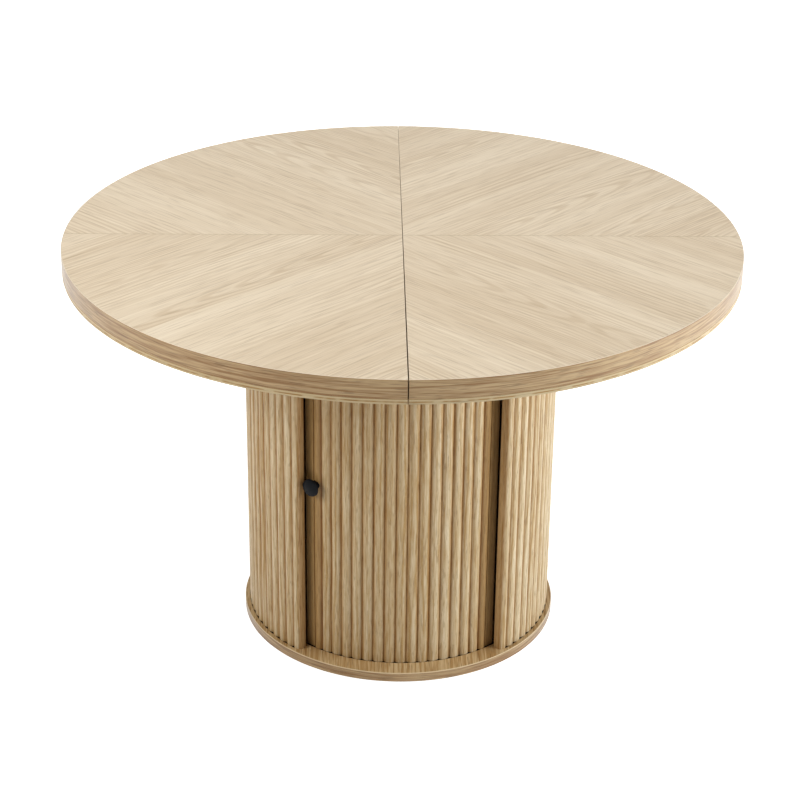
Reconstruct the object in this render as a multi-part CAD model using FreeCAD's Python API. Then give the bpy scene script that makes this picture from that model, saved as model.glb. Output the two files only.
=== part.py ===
import FreeCAD, Part
import math
import os

# Round dining table on a drum cabinet, in millimetres.
# The top is two half rounds that meet on a seam running front to back. The drum has two fixed fluted walls,
# and between their front ends a curved door of fluted slats that slides round behind the right wall.
# +Z is up, -Y is the front, +X is the right, and the origin is on the floor under the middle of the top.
# A bearing is an angle in degrees from the front, seen from above, positive towards the right.

# Table top
TOP_DIAMETER = 1200.0
TABLE_HEIGHT = 750.0
VENEER_THICKNESS = 0.6
TOP_BOARD_THICKNESS = 32.4
LOWER_BOARD_THICKNESS = 9.0
EDGE_BAND_THICKNESS = 1.2
EDGE_ROUNDING = 0.6
SEAM_FRONT_GAP = 2.0
SEAM_BACK_GAP = 0.4
LOWER_BOARD_GAP = 0.2
VENEER_JOINT = 0.3

# Joining of the two halves, across the seam
SEAM_DOWEL_DIAMETER = 8.0
SEAM_DOWEL_LENGTH = 60.0
SEAM_DOWEL_SHARES = (0.22, 0.66, 0.95)
JOINING_PLATE_LENGTH = 120.0
JOINING_PLATE_WIDTH = 40.0
JOINING_PLATE_THICKNESS = 2.5
JOINING_PLATE_CORNER = 6.0
JOINING_SCREW_INSET = 12.0
JOINING_SCREW_DIAMETER = 4.0
JOINING_SCREW_HEAD_DIAMETER = 8.0
JOINING_SCREW_HEAD_HEIGHT = 2.4
JOINING_SCREW_LENGTH = 22.0

# Bolts that hold the top to the cabinet
BOLT_DIAMETER = 6.0
BOLT_LENGTH = 30.0
BOLT_HEAD_DIAMETER = 11.0
BOLT_HEAD_HEIGHT = 4.0
BOLT_SOCKET_SIDES = 6
BOLT_SOCKET_SIZE = 4.0
BOLT_SOCKET_DEPTH = 2.0
BOLT_MARGIN = 14.0
BOLT_SPACING = 164.0
WASHER_DIAMETER = 18.0
WASHER_THICKNESS = 1.6
INSERT_DIAMETER = 10.0
INSERT_LENGTH = 15.0

# Base plate and cap plate of the drum
DRUM_DIAMETER = 568.0
PLATE_MARGIN = 9.0
PLATE_THICKNESS = 18.0
GLIDE_HEIGHT = 2.0
GLIDE_DIAMETER = 24.0
GLIDE_INSET = 45.0
GLIDE_NAIL_DIAMETER = 2.4
GLIDE_NAIL_LENGTH = 8.0
GLIDE_COUNT = 6

# Fluted walls
WALL_THICKNESS = 17.0
WALL_FLUTE_DEPTH = 4.5
WALL_FLUTES = 32
END_FLUTE_SHARE = 0.85
END_CREST_SHARE = 0.53
END_CORNER_DROP = 7.0
WALL_SHOULDER = 14.0
OPENING_ANGLE = 80.6
REAR_JOINT = 0.4
WALL_GROOVE_DEPTH = 5.0
WALL_GROOVE_CLEARANCE = 0.3
WALL_SCREW_DIAMETER = 4.0
WALL_SCREW_HEAD_DIAMETER = 8.0
WALL_SCREW_LENGTH = 45.0
WALL_SCREW_SHARES = (0.08, 0.36, 0.64, 0.92)
CLEAT_WIDTH = 60.0
CLEAT_THICKNESS = 12.0
CLEAT_END_GAP = 40.0
CLEAT_SCREW_DIAMETER = 3.5
CLEAT_SCREW_HEAD_DIAMETER = 7.0
CLEAT_SCREW_LENGTH = 20.0
CLEAT_SCREW_SHARES = (0.08, 0.36, 0.64, 0.92)
CLEAT_SCREW_SIDE_SHARE = 0.25

# Sliding door
DOOR_GAP = 9.0
SLAT_COUNT = 17
END_SLAT_SHARE = 0.85
SLAT_THICKNESS = 12.0
SLAT_FLUTE_DEPTH = 4.0
SLAT_JOINT = 0.3
STILE_SETBACK = 3.0
STILE_SHOW_ANGLE = 2.6
DOOR_OVERLAP_ANGLE = 1.5
DOOR_TRAVEL_ANGLE = 72.0
DOOR_STOP_ANGLE = 0.5
DOOR_GROOVE_DEPTH = 6.0
DOOR_GROOVE_CLEARANCE = 0.8
DOOR_FLOAT = 0.3
DOOR_HEADROOM = 1.5
BACKING_THICKNESS = 0.9
BACKING_END_GAP = 3.0

# Knob
KNOB_HEIGHT = 359.0
KNOB_PLACE_SHARE = 0.36
KNOB_PROJECTION = 21.0
KNOB_HEAD_DIAMETER = 33.0
KNOB_HEAD_THICKNESS = 9.0
KNOB_DOME_RADIUS = 30.0
KNOB_SHOULDER_RADIUS = 4.0
KNOB_STEM_DIAMETER = 16.0
KNOB_FLARE = 4.0
KNOB_SEAT_DEPTH = 3.0
KNOB_SCREW_DIAMETER = 4.0
KNOB_SCREW_HEAD_DIAMETER = 8.0
KNOB_SCREW_HEAD_HEIGHT = 2.4
KNOB_SCREW_BITE = 10.0

# Carcass inside the drum
CLEAR_WIDTH = 296.0
BOARD_THICKNESS = 15.0
UPRIGHT_CLEARANCE = 3.5
BACK_BOARD_INSET = 13.0
SHELF_HEIGHT = 350.0
SHELF_SIDE_GAP = 0.5
SHELF_SETBACK = 12.0
SHELF_PIN_DIAMETER = 5.0
SHELF_PIN_COLLAR_DIAMETER = 7.0
SHELF_PIN_DEPTH = 9.0
SHELF_PIN_REACH = 9.0
SHELF_PIN_SHARES = (0.16, 0.76)
CAM_DIAMETER = 15.0
CAM_DEPTH = 12.0
CAM_BACKSET = 24.0
CAM_SLOT_CLEARANCE = 0.6
CAM_SHARES = (0.2, 0.72)
STUD_DIAMETER = 6.0
STUD_ANCHOR = 10.0
BOARD_DOWEL_DIAMETER = 8.0
BOARD_DOWEL_LENGTH = 30.0
BOARD_DOWEL_ANCHOR = 11.0
BOARD_DOWEL_SHARE = 0.46
BOARD_SCREW_DIAMETER = 5.0
BOARD_SCREW_HEAD_DIAMETER = 9.0
BOARD_SCREW_LENGTH = 50.0
BOARD_SCREW_SHARES = (0.12, 0.5, 0.88)

# Fits
FIT = 0.1
GLUE_LINE = 0.1
OVERRUN = 5.0

# Levels and radii that follow from the sizes above
TOP_RADIUS = TOP_DIAMETER / 2
BOARD_RADIUS = TOP_RADIUS - EDGE_BAND_THICKNESS - GLUE_LINE
VENEER_BOTTOM = TABLE_HEIGHT - VENEER_THICKNESS
TOP_BOARD_BOTTOM = VENEER_BOTTOM - TOP_BOARD_THICKNESS
TOP_UNDERSIDE = TOP_BOARD_BOTTOM - LOWER_BOARD_THICKNESS
CAP_BOTTOM = TOP_UNDERSIDE - PLATE_THICKNESS
BASE_TOP = GLIDE_HEIGHT + PLATE_THICKNESS
CARCASS_HEIGHT = CAP_BOTTOM - BASE_TOP
DRUM_RADIUS = DRUM_DIAMETER / 2
PLATE_RADIUS = DRUM_RADIUS + PLATE_MARGIN
PLATE_CORE_RADIUS = PLATE_RADIUS - EDGE_BAND_THICKNESS - GLUE_LINE
WALL_INNER_RADIUS = DRUM_RADIUS - WALL_THICKNESS
WALL_VALLEY_RADIUS = DRUM_RADIUS - WALL_FLUTE_DEPTH
WALL_SCREW_RADIUS = (WALL_INNER_RADIUS + WALL_VALLEY_RADIUS) / 2
WALL_BOTTOM = BASE_TOP - WALL_GROOVE_DEPTH
WALL_TOP = CAP_BOTTOM + WALL_GROOVE_DEPTH
CLEAT_OUTER_RADIUS = WALL_INNER_RADIUS - GLUE_LINE
CLEAT_INNER_RADIUS = CLEAT_OUTER_RADIUS - CLEAT_THICKNESS
DOOR_RADIUS = WALL_INNER_RADIUS - DOOR_GAP
SLAT_VALLEY_RADIUS = DOOR_RADIUS - SLAT_FLUTE_DEPTH
SLAT_BACK_RADIUS = DOOR_RADIUS - SLAT_THICKNESS
BACKING_OUTER_RADIUS = SLAT_BACK_RADIUS - GLUE_LINE
BACKING_INNER_RADIUS = BACKING_OUTER_RADIUS - BACKING_THICKNESS
DOOR_BOTTOM = BASE_TOP - DOOR_GROOVE_DEPTH + DOOR_FLOAT
DOOR_TOP = CAP_BOTTOM + DOOR_GROOVE_DEPTH - DOOR_HEADROOM
DOOR_HEIGHT = DOOR_TOP - DOOR_BOTTOM

# Bearings that follow from the opening
FULL_TURN = 360.0
REAR_BEARING = FULL_TURN / 2
OPENING_BEARING = OPENING_ANGLE / 2
SHOULDER_BEARING = OPENING_BEARING + math.degrees(WALL_SHOULDER / DRUM_RADIUS)
FLUTED_BEARING = OPENING_BEARING - STILE_SHOW_ANGLE
DOOR_BEARING = OPENING_BEARING + DOOR_OVERLAP_ANGLE
SLAT_ANGLE = 2 * FLUTED_BEARING / (SLAT_COUNT - 2 + 2 * END_SLAT_SHARE)
KNOB_BEARING = KNOB_PLACE_SHARE * END_SLAT_SHARE * SLAT_ANGLE - FLUTED_BEARING

# Places inside the drum that follow from the sizes above
UPRIGHT_INNER_X = CLEAR_WIDTH / 2
UPRIGHT_OUTER_X = UPRIGHT_INNER_X + BOARD_THICKNESS
UPRIGHT_REACH = math.sqrt((BACKING_INNER_RADIUS - UPRIGHT_CLEARANCE) ** 2 - UPRIGHT_OUTER_X ** 2)
BACK_BOARD_REAR = UPRIGHT_REACH - BACK_BOARD_INSET
BACK_BOARD_FRONT = BACK_BOARD_REAR - BOARD_THICKNESS

UP = FreeCAD.Vector(0, 0, 1)
ORIGIN = FreeCAD.Vector(0, 0, 0)
LEFT = -1
RIGHT = 1
BOARDS = ("left_upright", "right_upright", "back_board")


def outward(bearing):
    """The level direction away from the drum's axis at a bearing."""
    turn = math.radians(bearing)
    return FreeCAD.Vector(math.sin(turn), -math.cos(turn), 0)


def at(radius, bearing, height=0):
    """The point at a radius and a bearing from the drum's axis, at a height."""
    return outward(bearing) * radius + UP * height


def spread(length, radius):
    """The angle in degrees that a length takes up on a circle of a radius."""
    return math.degrees(length / radius)


def bow(start, middle, end):
    """The arc through three points."""
    return Part.Arc(start, middle, end).toShape()


def ring_bow(radius, start, end):
    """The arc about the drum's axis from one bearing to another."""
    return bow(at(radius, start), at(radius, (start + end) / 2), at(radius, end))


def line(start, end):
    """The straight edge between two points."""
    return Part.LineSegment(start, end).toShape()


def prism(edges, bottom, height):
    """The upright solid on a closed outline, from a level up by a height."""
    solid = Part.Face(Part.Wire(edges)).extrude(UP * height)
    solid.translate(UP * bottom)
    return solid


def disc(radius, bottom, height):
    """A round plate about the drum's axis."""
    return Part.makeCylinder(radius, height, UP * bottom)


def on_profile(radius, height):
    """A point of a profile that is turned about the upright axis."""
    return FreeCAD.Vector(radius, 0, height)


def turned(edges):
    """The solid that a closed profile sweeps in a full turn about the upright axis."""
    return Part.Face(Part.Wire(edges)).revolve(ORIGIN, UP, FULL_TURN)


def soft_edged_ring(inner, outer, bottom, height):
    """A ring about the drum's axis with both its outer edges rounded."""
    top = bottom + height
    flat = outer - EDGE_ROUNDING
    bulge = outer - EDGE_ROUNDING * (1 - math.sqrt(2) / 2)
    rise = outer - bulge
    low_side = on_profile(outer, bottom + EDGE_ROUNDING)
    high_side = on_profile(outer, top - EDGE_ROUNDING)
    edges = [
        line(on_profile(inner, bottom), on_profile(flat, bottom)),
        bow(on_profile(flat, bottom), on_profile(bulge, bottom + rise), low_side),
        line(low_side, high_side),
        bow(high_side, on_profile(bulge, top - rise), on_profile(flat, top)),
        line(on_profile(flat, top), on_profile(inner, top)),
        line(on_profile(inner, top), on_profile(inner, bottom)),
    ]
    return turned(edges)


def ring_segment(inner, outer, start, end, bottom, height):
    """A piece of a ring between two radii and two bearings."""
    edges = [
        ring_bow(outer, start, end),
        line(at(outer, end), at(inner, end)),
        ring_bow(inner, end, start),
        line(at(inner, start), at(outer, start)),
    ]
    return prism(edges, bottom, height)


def box(low, high):
    """A block between two opposite corners."""
    size = high - low
    return Part.makeBox(size.x, size.y, size.z, low)


def placed(shape, point, direction):
    """A copy of a shape that was drawn along +Z from the origin, set at a point along a direction."""
    copy = shape.copy()
    copy.Placement = FreeCAD.Placement(point, FreeCAD.Rotation(UP, direction))
    return copy


def pan_head_screw(diameter, head_diameter, head_height, length, room=0):
    """A screw along +Z whose head lies below the origin. Room widens it into the hole it needs."""
    shank = Part.makeCylinder(diameter / 2 + room, length + room)
    head = Part.makeCylinder(head_diameter / 2 + room, head_height, UP * -head_height)
    return head.fuse(shank).removeSplitter()


def flat_head_screw(diameter, head_diameter, length, room=0):
    """A countersunk screw along +Z with its head's face at the origin. Room widens it into its hole."""
    shank = Part.makeCylinder(diameter / 2 + room, length + room)
    head_height = (head_diameter - diameter) / 2
    head = Part.makeCone(head_diameter / 2 + room, diameter / 2 + room, head_height)
    return head.fuse(shank).removeSplitter()


def half_round(solid, side, front_gap=SEAM_FRONT_GAP, back_gap=SEAM_BACK_GAP):
    """The half of a round solid LEFT or RIGHT of the seam, with a gap that narrows from the front to the back."""
    reach = TOP_RADIUS + OVERRUN
    front = FreeCAD.Vector(front_gap / 2, -reach, 0)
    back = FreeCAD.Vector(back_gap / 2, reach, 0)
    corners = [front, FreeCAD.Vector(reach, -reach, 0), FreeCAD.Vector(reach, reach, 0), back, front]
    half = solid.common(prism(Part.makePolygon(corners).Edges, 0, TABLE_HEIGHT + OVERRUN))
    if side == LEFT:
        half = half.mirror(ORIGIN, FreeCAD.Vector(1, 0, 0))
    return half


def seam_dowel_points():
    """The middles of the dowels across the seam, front and back."""
    level = TOP_BOARD_BOTTOM + TOP_BOARD_THICKNESS / 2
    stations = [share * BOARD_RADIUS for share in SEAM_DOWEL_SHARES]
    return [FreeCAD.Vector(0, way * station, level) for way in (-1, 1) for station in stations]


def seam_dowel(point, room):
    """One dowel across the seam, widened by a clearance where it stands for its hole."""
    start = point - FreeCAD.Vector(SEAM_DOWEL_LENGTH / 2 + room, 0, 0)
    along = FreeCAD.Vector(1, 0, 0)
    return Part.makeCylinder(SEAM_DOWEL_DIAMETER / 2 + room, SEAM_DOWEL_LENGTH + 2 * room, start, along)


def joining_plate_stations():
    """How far in front of and behind the middle the joining plates sit."""
    station = (PLATE_RADIUS + TOP_RADIUS) / 2
    return (-station, station)


def joining_screw_points():
    """The four screw places on each joining plate, on the plate's lower face."""
    level = TOP_UNDERSIDE - JOINING_PLATE_THICKNESS
    reach = JOINING_PLATE_LENGTH / 2 - JOINING_SCREW_INSET
    spacing = JOINING_PLATE_WIDTH / 2 - JOINING_SCREW_INSET
    return [
        FreeCAD.Vector(side * reach, station + way * spacing, level)
        for station in joining_plate_stations()
        for side in (LEFT, RIGHT)
        for way in (-1, 1)
    ]


def joining_screws(room=0):
    """The screws of the joining plates."""
    screw = pan_head_screw(
        JOINING_SCREW_DIAMETER,
        JOINING_SCREW_HEAD_DIAMETER,
        JOINING_SCREW_HEAD_HEIGHT,
        JOINING_SCREW_LENGTH,
        room,
    )
    return [placed(screw, point, UP) for point in joining_screw_points()]


def joining_plate(station):
    """One steel plate under the seam, with rounded corners and its screw holes."""
    reach = JOINING_PLATE_LENGTH / 2
    width = JOINING_PLATE_WIDTH / 2
    low = FreeCAD.Vector(-reach, station - width, TOP_UNDERSIDE - JOINING_PLATE_THICKNESS)
    high = FreeCAD.Vector(reach, station + width, TOP_UNDERSIDE)
    plate = box(low, high)
    corners = [edge for edge in plate.Edges if edge.BoundBox.ZLength > JOINING_PLATE_THICKNESS / 2]
    plate = plate.makeFillet(JOINING_PLATE_CORNER, corners)
    return plate.cut(joining_screws(FIT))


def bolt_points():
    """Where the bolts pass, outside the uprights and behind or before the carcass, four in each half."""
    side_x = UPRIGHT_OUTER_X + BOLT_MARGIN
    end_y = BACK_BOARD_REAR + BOLT_MARGIN
    places = []
    for across in (-1, 1):
        for along in (-1, 1):
            places.append(FreeCAD.Vector(across * side_x, along * BOLT_SPACING / 2, 0))
            places.append(FreeCAD.Vector(across * BOLT_SPACING / 2, along * end_y, 0))
    return places


def bolt_holes(diameter, bottom, height):
    """Upright holes or rods at the bolt places."""
    return [Part.makeCylinder(diameter / 2, height, point + UP * bottom) for point in bolt_points()]


def top_bolt():
    """A button-head bolt along +Z with its head below the origin and a six-sided socket in the head."""
    bolt = pan_head_screw(BOLT_DIAMETER, BOLT_HEAD_DIAMETER, BOLT_HEAD_HEIGHT, BOLT_LENGTH)
    corner = BOLT_SOCKET_SIZE / 2 / math.cos(math.pi / BOLT_SOCKET_SIDES)
    turns = range(BOLT_SOCKET_SIDES + 1)
    corners = [at(corner, turn * FULL_TURN / BOLT_SOCKET_SIDES) for turn in turns]
    socket = prism(Part.makePolygon(corners).Edges, -BOLT_HEAD_HEIGHT, BOLT_SOCKET_DEPTH)
    return bolt.cut(socket)


def veneer(side, way):
    """One quarter of the veneer: LEFT or RIGHT of the seam, and -1 front or 1 back of the cross joint."""
    sheet = half_round(disc(BOARD_RADIUS, VENEER_BOTTOM, VENEER_THICKNESS), side)
    near = way * VENEER_JOINT / 2
    far = way * (TOP_RADIUS + OVERRUN)
    low = FreeCAD.Vector(-TOP_RADIUS - OVERRUN, min(near, far), 0)
    high = FreeCAD.Vector(TOP_RADIUS + OVERRUN, max(near, far), TABLE_HEIGHT + OVERRUN)
    return sheet.common(box(low, high))


def bored_half(board):
    """One half of a board of the top, bored for the inserts, the seam dowels and the joining screws."""
    holes = bolt_holes(INSERT_DIAMETER + 2 * FIT, TOP_UNDERSIDE, INSERT_LENGTH)
    holes += [seam_dowel(point, FIT) for point in seam_dowel_points()]
    return board.cut(holes + joining_screws(FIT))


def band_half(bottom, height, side):
    """The band round the edge of one half of a board of the top."""
    inner = TOP_RADIUS - EDGE_BAND_THICKNESS
    return half_round(soft_edged_ring(inner, TOP_RADIUS, bottom, height), side)


def plate_band(bottom):
    """The band round the edge of the base plate or the cap plate."""
    return soft_edged_ring(PLATE_RADIUS - EDGE_BAND_THICKNESS, PLATE_RADIUS, bottom, PLATE_THICKNESS)


def wall_groove(bottom):
    """The groove that takes the ends of both walls, stopped short of their shoulders at the opening."""
    start = SHOULDER_BEARING - spread(WALL_GROOVE_CLEARANCE, DRUM_RADIUS)
    return ring_segment(
        WALL_INNER_RADIUS - WALL_GROOVE_CLEARANCE,
        DRUM_RADIUS + WALL_GROOVE_CLEARANCE,
        start,
        FULL_TURN - start,
        bottom,
        WALL_GROOVE_DEPTH,
    )


def door_groove(bottom):
    """The groove that the door's ends run in, as long as the door and its travel."""
    return ring_segment(
        SLAT_BACK_RADIUS - DOOR_GROOVE_CLEARANCE,
        DOOR_RADIUS + DOOR_GROOVE_CLEARANCE,
        -DOOR_BEARING - DOOR_STOP_ANGLE,
        DOOR_BEARING + DOOR_TRAVEL_ANGLE + DOOR_STOP_ANGLE,
        bottom,
        DOOR_GROOVE_DEPTH,
    )


def wall_screw_places():
    """Bearings of the screws that hold the walls' ends, mirrored about the front."""
    arc = REAR_BEARING - OPENING_BEARING
    right = [OPENING_BEARING + share * arc for share in WALL_SCREW_SHARES]
    return right + [-bearing for bearing in right]


def wall_screws(room=0):
    """The screws through both plates into the ends of the walls."""
    screw = flat_head_screw(WALL_SCREW_DIAMETER, WALL_SCREW_HEAD_DIAMETER, WALL_SCREW_LENGTH, room)
    screws = []
    for bearing in wall_screw_places():
        screws.append(placed(screw, at(WALL_SCREW_RADIUS, bearing, GLIDE_HEIGHT), UP))
        screws.append(placed(screw, at(WALL_SCREW_RADIUS, bearing, TOP_UNDERSIDE), UP * -1))
    return screws


def upright_place(side, share):
    """A place on the middle plane of an upright, at a share of its depth from the front."""
    x = side * (UPRIGHT_INNER_X + UPRIGHT_OUTER_X) / 2
    return FreeCAD.Vector(x, -UPRIGHT_REACH + share * 2 * UPRIGHT_REACH, 0)


def back_board_place(share):
    """A place on the middle plane of the back board, at a share of its width from the left."""
    return FreeCAD.Vector(-UPRIGHT_INNER_X + share * CLEAR_WIDTH, (BACK_BOARD_FRONT + BACK_BOARD_REAR) / 2, 0)


def board_fittings():
    """For each standing board: the cam places, the dowel place and the way that the cams are bored in."""
    fittings = {}
    for name, side in (("left_upright", LEFT), ("right_upright", RIGHT)):
        places = [upright_place(side, share) for share in CAM_SHARES]
        dowel = upright_place(side, BOARD_DOWEL_SHARE)
        fittings[name] = (places, dowel, FreeCAD.Vector(-side, 0, 0))
    places = [back_board_place(share) for share in CAM_SHARES]
    dowel = back_board_place(BOARD_DOWEL_SHARE)
    fittings["back_board"] = (places, dowel, FreeCAD.Vector(0, -1, 0))
    return fittings


def board_ends():
    """The level of each end of the standing boards, with the way from that end into the board."""
    return ((BASE_TOP, UP), (CAP_BOTTOM, UP * -1))


def cam_studs(names, room=0):
    """The studs that stand in the plates and reach the middles of the cams of the named boards."""
    radius = STUD_DIAMETER / 2 + room
    length = STUD_ANCHOR + CAM_BACKSET
    rods = []
    for name in names:
        for place in board_fittings()[name][0]:
            for level, inward in board_ends():
                foot = place + UP * level - inward * STUD_ANCHOR
                rods.append(Part.makeCylinder(radius, length, foot, inward))
    return rods


def cam_blanks(names, room=0):
    """The round cams of the named boards, before their slots, let into the boards' hidden faces."""
    blanks = []
    for name in names:
        bore = board_fittings()[name][2]
        for place in board_fittings()[name][0]:
            for level, inward in board_ends():
                face = place + UP * level + inward * CAM_BACKSET - bore * (BOARD_THICKNESS / 2)
                blanks.append(Part.makeCylinder(CAM_DIAMETER / 2 + room, CAM_DEPTH, face, bore))
    return blanks


def board_dowels(names, room=0):
    """The dowels between the plates and the ends of the named boards."""
    rods = []
    for name in names:
        place = board_fittings()[name][1]
        for level, inward in board_ends():
            foot = place + UP * level - inward * BOARD_DOWEL_ANCHOR
            rods.append(Part.makeCylinder(BOARD_DOWEL_DIAMETER / 2 + room, BOARD_DOWEL_LENGTH, foot, inward))
    return rods


def board_screws(room=0):
    """The screws through the uprights into the edges of the back board."""
    screw = flat_head_screw(BOARD_SCREW_DIAMETER, BOARD_SCREW_HEAD_DIAMETER, BOARD_SCREW_LENGTH, room)
    depth = (BACK_BOARD_FRONT + BACK_BOARD_REAR) / 2
    screws = []
    for side in (LEFT, RIGHT):
        for share in BOARD_SCREW_SHARES:
            point = FreeCAD.Vector(side * UPRIGHT_OUTER_X, depth, BASE_TOP + share * CARCASS_HEIGHT)
            screws.append(placed(screw, point, FreeCAD.Vector(-side, 0, 0)))
    return screws


def glide_points():
    """The middles of the glides under the base plate."""
    return [at(PLATE_RADIUS - GLIDE_INSET, turn * FULL_TURN / GLIDE_COUNT) for turn in range(GLIDE_COUNT)]


def foot_glide(point):
    """A nylon disc with the nail that holds it."""
    pad = Part.makeCylinder(GLIDE_DIAMETER / 2, GLIDE_HEIGHT, point)
    nail = Part.makeCylinder(GLIDE_NAIL_DIAMETER / 2, GLIDE_HEIGHT + GLIDE_NAIL_LENGTH, point)
    return pad.fuse(nail).removeSplitter()


def plate_cuts(groove_bottom_wall, groove_bottom_door):
    """What both plates have cut out of them: the grooves, and the holes for fittings and wall screws."""
    cuts = [wall_groove(groove_bottom_wall), door_groove(groove_bottom_door)]
    cuts += wall_screws(FIT)
    cuts += cam_studs(BOARDS, FIT)
    cuts += board_dowels(BOARDS, FIT)
    return cuts


def base_plate():
    """The plate that the drum stands on."""
    plate = disc(PLATE_CORE_RADIUS, GLIDE_HEIGHT, PLATE_THICKNESS)
    nails = [
        Part.makeCylinder(GLIDE_NAIL_DIAMETER / 2 + FIT, GLIDE_HEIGHT + GLIDE_NAIL_LENGTH, point)
        for point in glide_points()
    ]
    return plate.cut(plate_cuts(WALL_BOTTOM, BASE_TOP - DOOR_GROOVE_DEPTH) + nails)


def cap_plate():
    """The plate over the drum, bolted up to the table top."""
    plate = disc(PLATE_CORE_RADIUS, CAP_BOTTOM, PLATE_THICKNESS)
    holes = bolt_holes(BOLT_DIAMETER + 2 * FIT, CAP_BOTTOM, PLATE_THICKNESS)
    return plate.cut(plate_cuts(CAP_BOTTOM, CAP_BOTTOM) + holes)


def wall_shoulders():
    """What is cut from the foot and the head of the right wall where the grooves stop short."""
    start = OPENING_BEARING - spread(OVERRUN, DRUM_RADIUS)
    inner = WALL_INNER_RADIUS - OVERRUN
    outer = DRUM_RADIUS + OVERRUN
    return [
        ring_segment(inner, outer, start, SHOULDER_BEARING, level, WALL_GROOVE_DEPTH)
        for level in (WALL_BOTTOM, CAP_BOTTOM)
    ]


def fluted_wall(side):
    """One fixed wall of the drum, fluted outside and smooth inside, with a rounded end at the opening."""
    end = REAR_BEARING - spread(REAR_JOINT / 2, DRUM_RADIUS)
    pitch = (end - OPENING_BEARING) / (WALL_FLUTES + END_FLUTE_SHARE)
    corner = at(DRUM_RADIUS - END_CORNER_DROP, OPENING_BEARING)
    first_valley = OPENING_BEARING + END_FLUTE_SHARE * pitch
    crest = at(DRUM_RADIUS, OPENING_BEARING + END_CREST_SHARE * END_FLUTE_SHARE * pitch)
    edges = [line(at(WALL_INNER_RADIUS, OPENING_BEARING), corner)]
    edges.append(bow(corner, crest, at(WALL_VALLEY_RADIUS, first_valley)))
    for flute in range(WALL_FLUTES):
        start = first_valley + flute * pitch
        middle = at(DRUM_RADIUS, start + pitch / 2)
        edges.append(bow(at(WALL_VALLEY_RADIUS, start), middle, at(WALL_VALLEY_RADIUS, start + pitch)))
    edges.append(line(at(WALL_VALLEY_RADIUS, end), at(WALL_INNER_RADIUS, end)))
    edges.append(ring_bow(WALL_INNER_RADIUS, end, OPENING_BEARING))
    wall = prism(edges, WALL_BOTTOM, WALL_TOP - WALL_BOTTOM).cut(wall_shoulders())
    if side == LEFT:
        wall = wall.mirror(ORIGIN, FreeCAD.Vector(1, 0, 0))
    return wall.cut(wall_screws(FIT) + cleat_screws(FIT))


def cleat_screws(room=0):
    """The screws from inside the cleat into both walls, on each side of the rear joint."""
    screw = flat_head_screw(CLEAT_SCREW_DIAMETER, CLEAT_SCREW_HEAD_DIAMETER, CLEAT_SCREW_LENGTH, room)
    offset = spread(CLEAT_WIDTH * CLEAT_SCREW_SIDE_SHARE, CLEAT_INNER_RADIUS)
    screws = []
    for bearing in (REAR_BEARING - offset, REAR_BEARING + offset):
        for share in CLEAT_SCREW_SHARES:
            height = BASE_TOP + CLEAT_END_GAP + share * (CARCASS_HEIGHT - 2 * CLEAT_END_GAP)
            screws.append(placed(screw, at(CLEAT_INNER_RADIUS, bearing, height), outward(bearing)))
    return screws


def rear_cleat():
    """The batten that bridges the rear joint of the walls from inside."""
    reach = spread(CLEAT_WIDTH / 2, CLEAT_OUTER_RADIUS)
    cleat = ring_segment(
        CLEAT_INNER_RADIUS,
        CLEAT_OUTER_RADIUS,
        REAR_BEARING - reach,
        REAR_BEARING + reach,
        BASE_TOP + CLEAT_END_GAP,
        CARCASS_HEIGHT - 2 * CLEAT_END_GAP,
    )
    return cleat.cut(cleat_screws(FIT))


def shelf_pin_points():
    """Where the shelf pins enter the uprights' inner faces, with the way that each points."""
    level = SHELF_HEIGHT - SHELF_PIN_COLLAR_DIAMETER / 2
    points = []
    for side in (LEFT, RIGHT):
        for share in SHELF_PIN_SHARES:
            depth = upright_place(side, share).y
            points.append((FreeCAD.Vector(side * UPRIGHT_INNER_X, depth, level), FreeCAD.Vector(side, 0, 0)))
    return points


def shelf_pin(point, way):
    """A pin in an upright, with the thicker collar that the shelf rests on."""
    pin = Part.makeCylinder(SHELF_PIN_DIAMETER / 2, SHELF_PIN_DEPTH, point, way)
    collar = Part.makeCylinder(SHELF_PIN_COLLAR_DIAMETER / 2, SHELF_PIN_REACH, point, way * -1)
    return pin.fuse(collar).removeSplitter()


def standing_board(name, low, high):
    """An upright or the back board, bored for its cams, studs and dowels."""
    cuts = cam_blanks([name], FIT) + cam_studs([name], CAM_SLOT_CLEARANCE) + board_dowels([name], FIT)
    return box(low, high).cut(cuts + board_screws(FIT))


def upright(name, side):
    """A side board of the carcass."""
    near = side * UPRIGHT_INNER_X
    far = side * UPRIGHT_OUTER_X
    low = FreeCAD.Vector(min(near, far), -UPRIGHT_REACH, BASE_TOP)
    high = FreeCAD.Vector(max(near, far), UPRIGHT_REACH, CAP_BOTTOM)
    pins = [
        Part.makeCylinder(SHELF_PIN_DIAMETER / 2 + FIT, SHELF_PIN_DEPTH, point, way)
        for point, way in shelf_pin_points()
    ]
    return standing_board(name, low, high).cut(pins)


def back_board():
    """The board between the uprights that closes the back of the storage space."""
    low = FreeCAD.Vector(-UPRIGHT_INNER_X, BACK_BOARD_FRONT, BASE_TOP)
    high = FreeCAD.Vector(UPRIGHT_INNER_X, BACK_BOARD_REAR, CAP_BOTTOM)
    return standing_board("back_board", low, high)


def shelf():
    """The shelf between the uprights, resting on its pins."""
    reach = UPRIGHT_INNER_X - SHELF_SIDE_GAP
    low = FreeCAD.Vector(-reach, -UPRIGHT_REACH + SHELF_SETBACK, SHELF_HEIGHT)
    high = FreeCAD.Vector(reach, BACK_BOARD_FRONT - SHELF_SIDE_GAP, SHELF_HEIGHT + BOARD_THICKNESS)
    return box(low, high)


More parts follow.
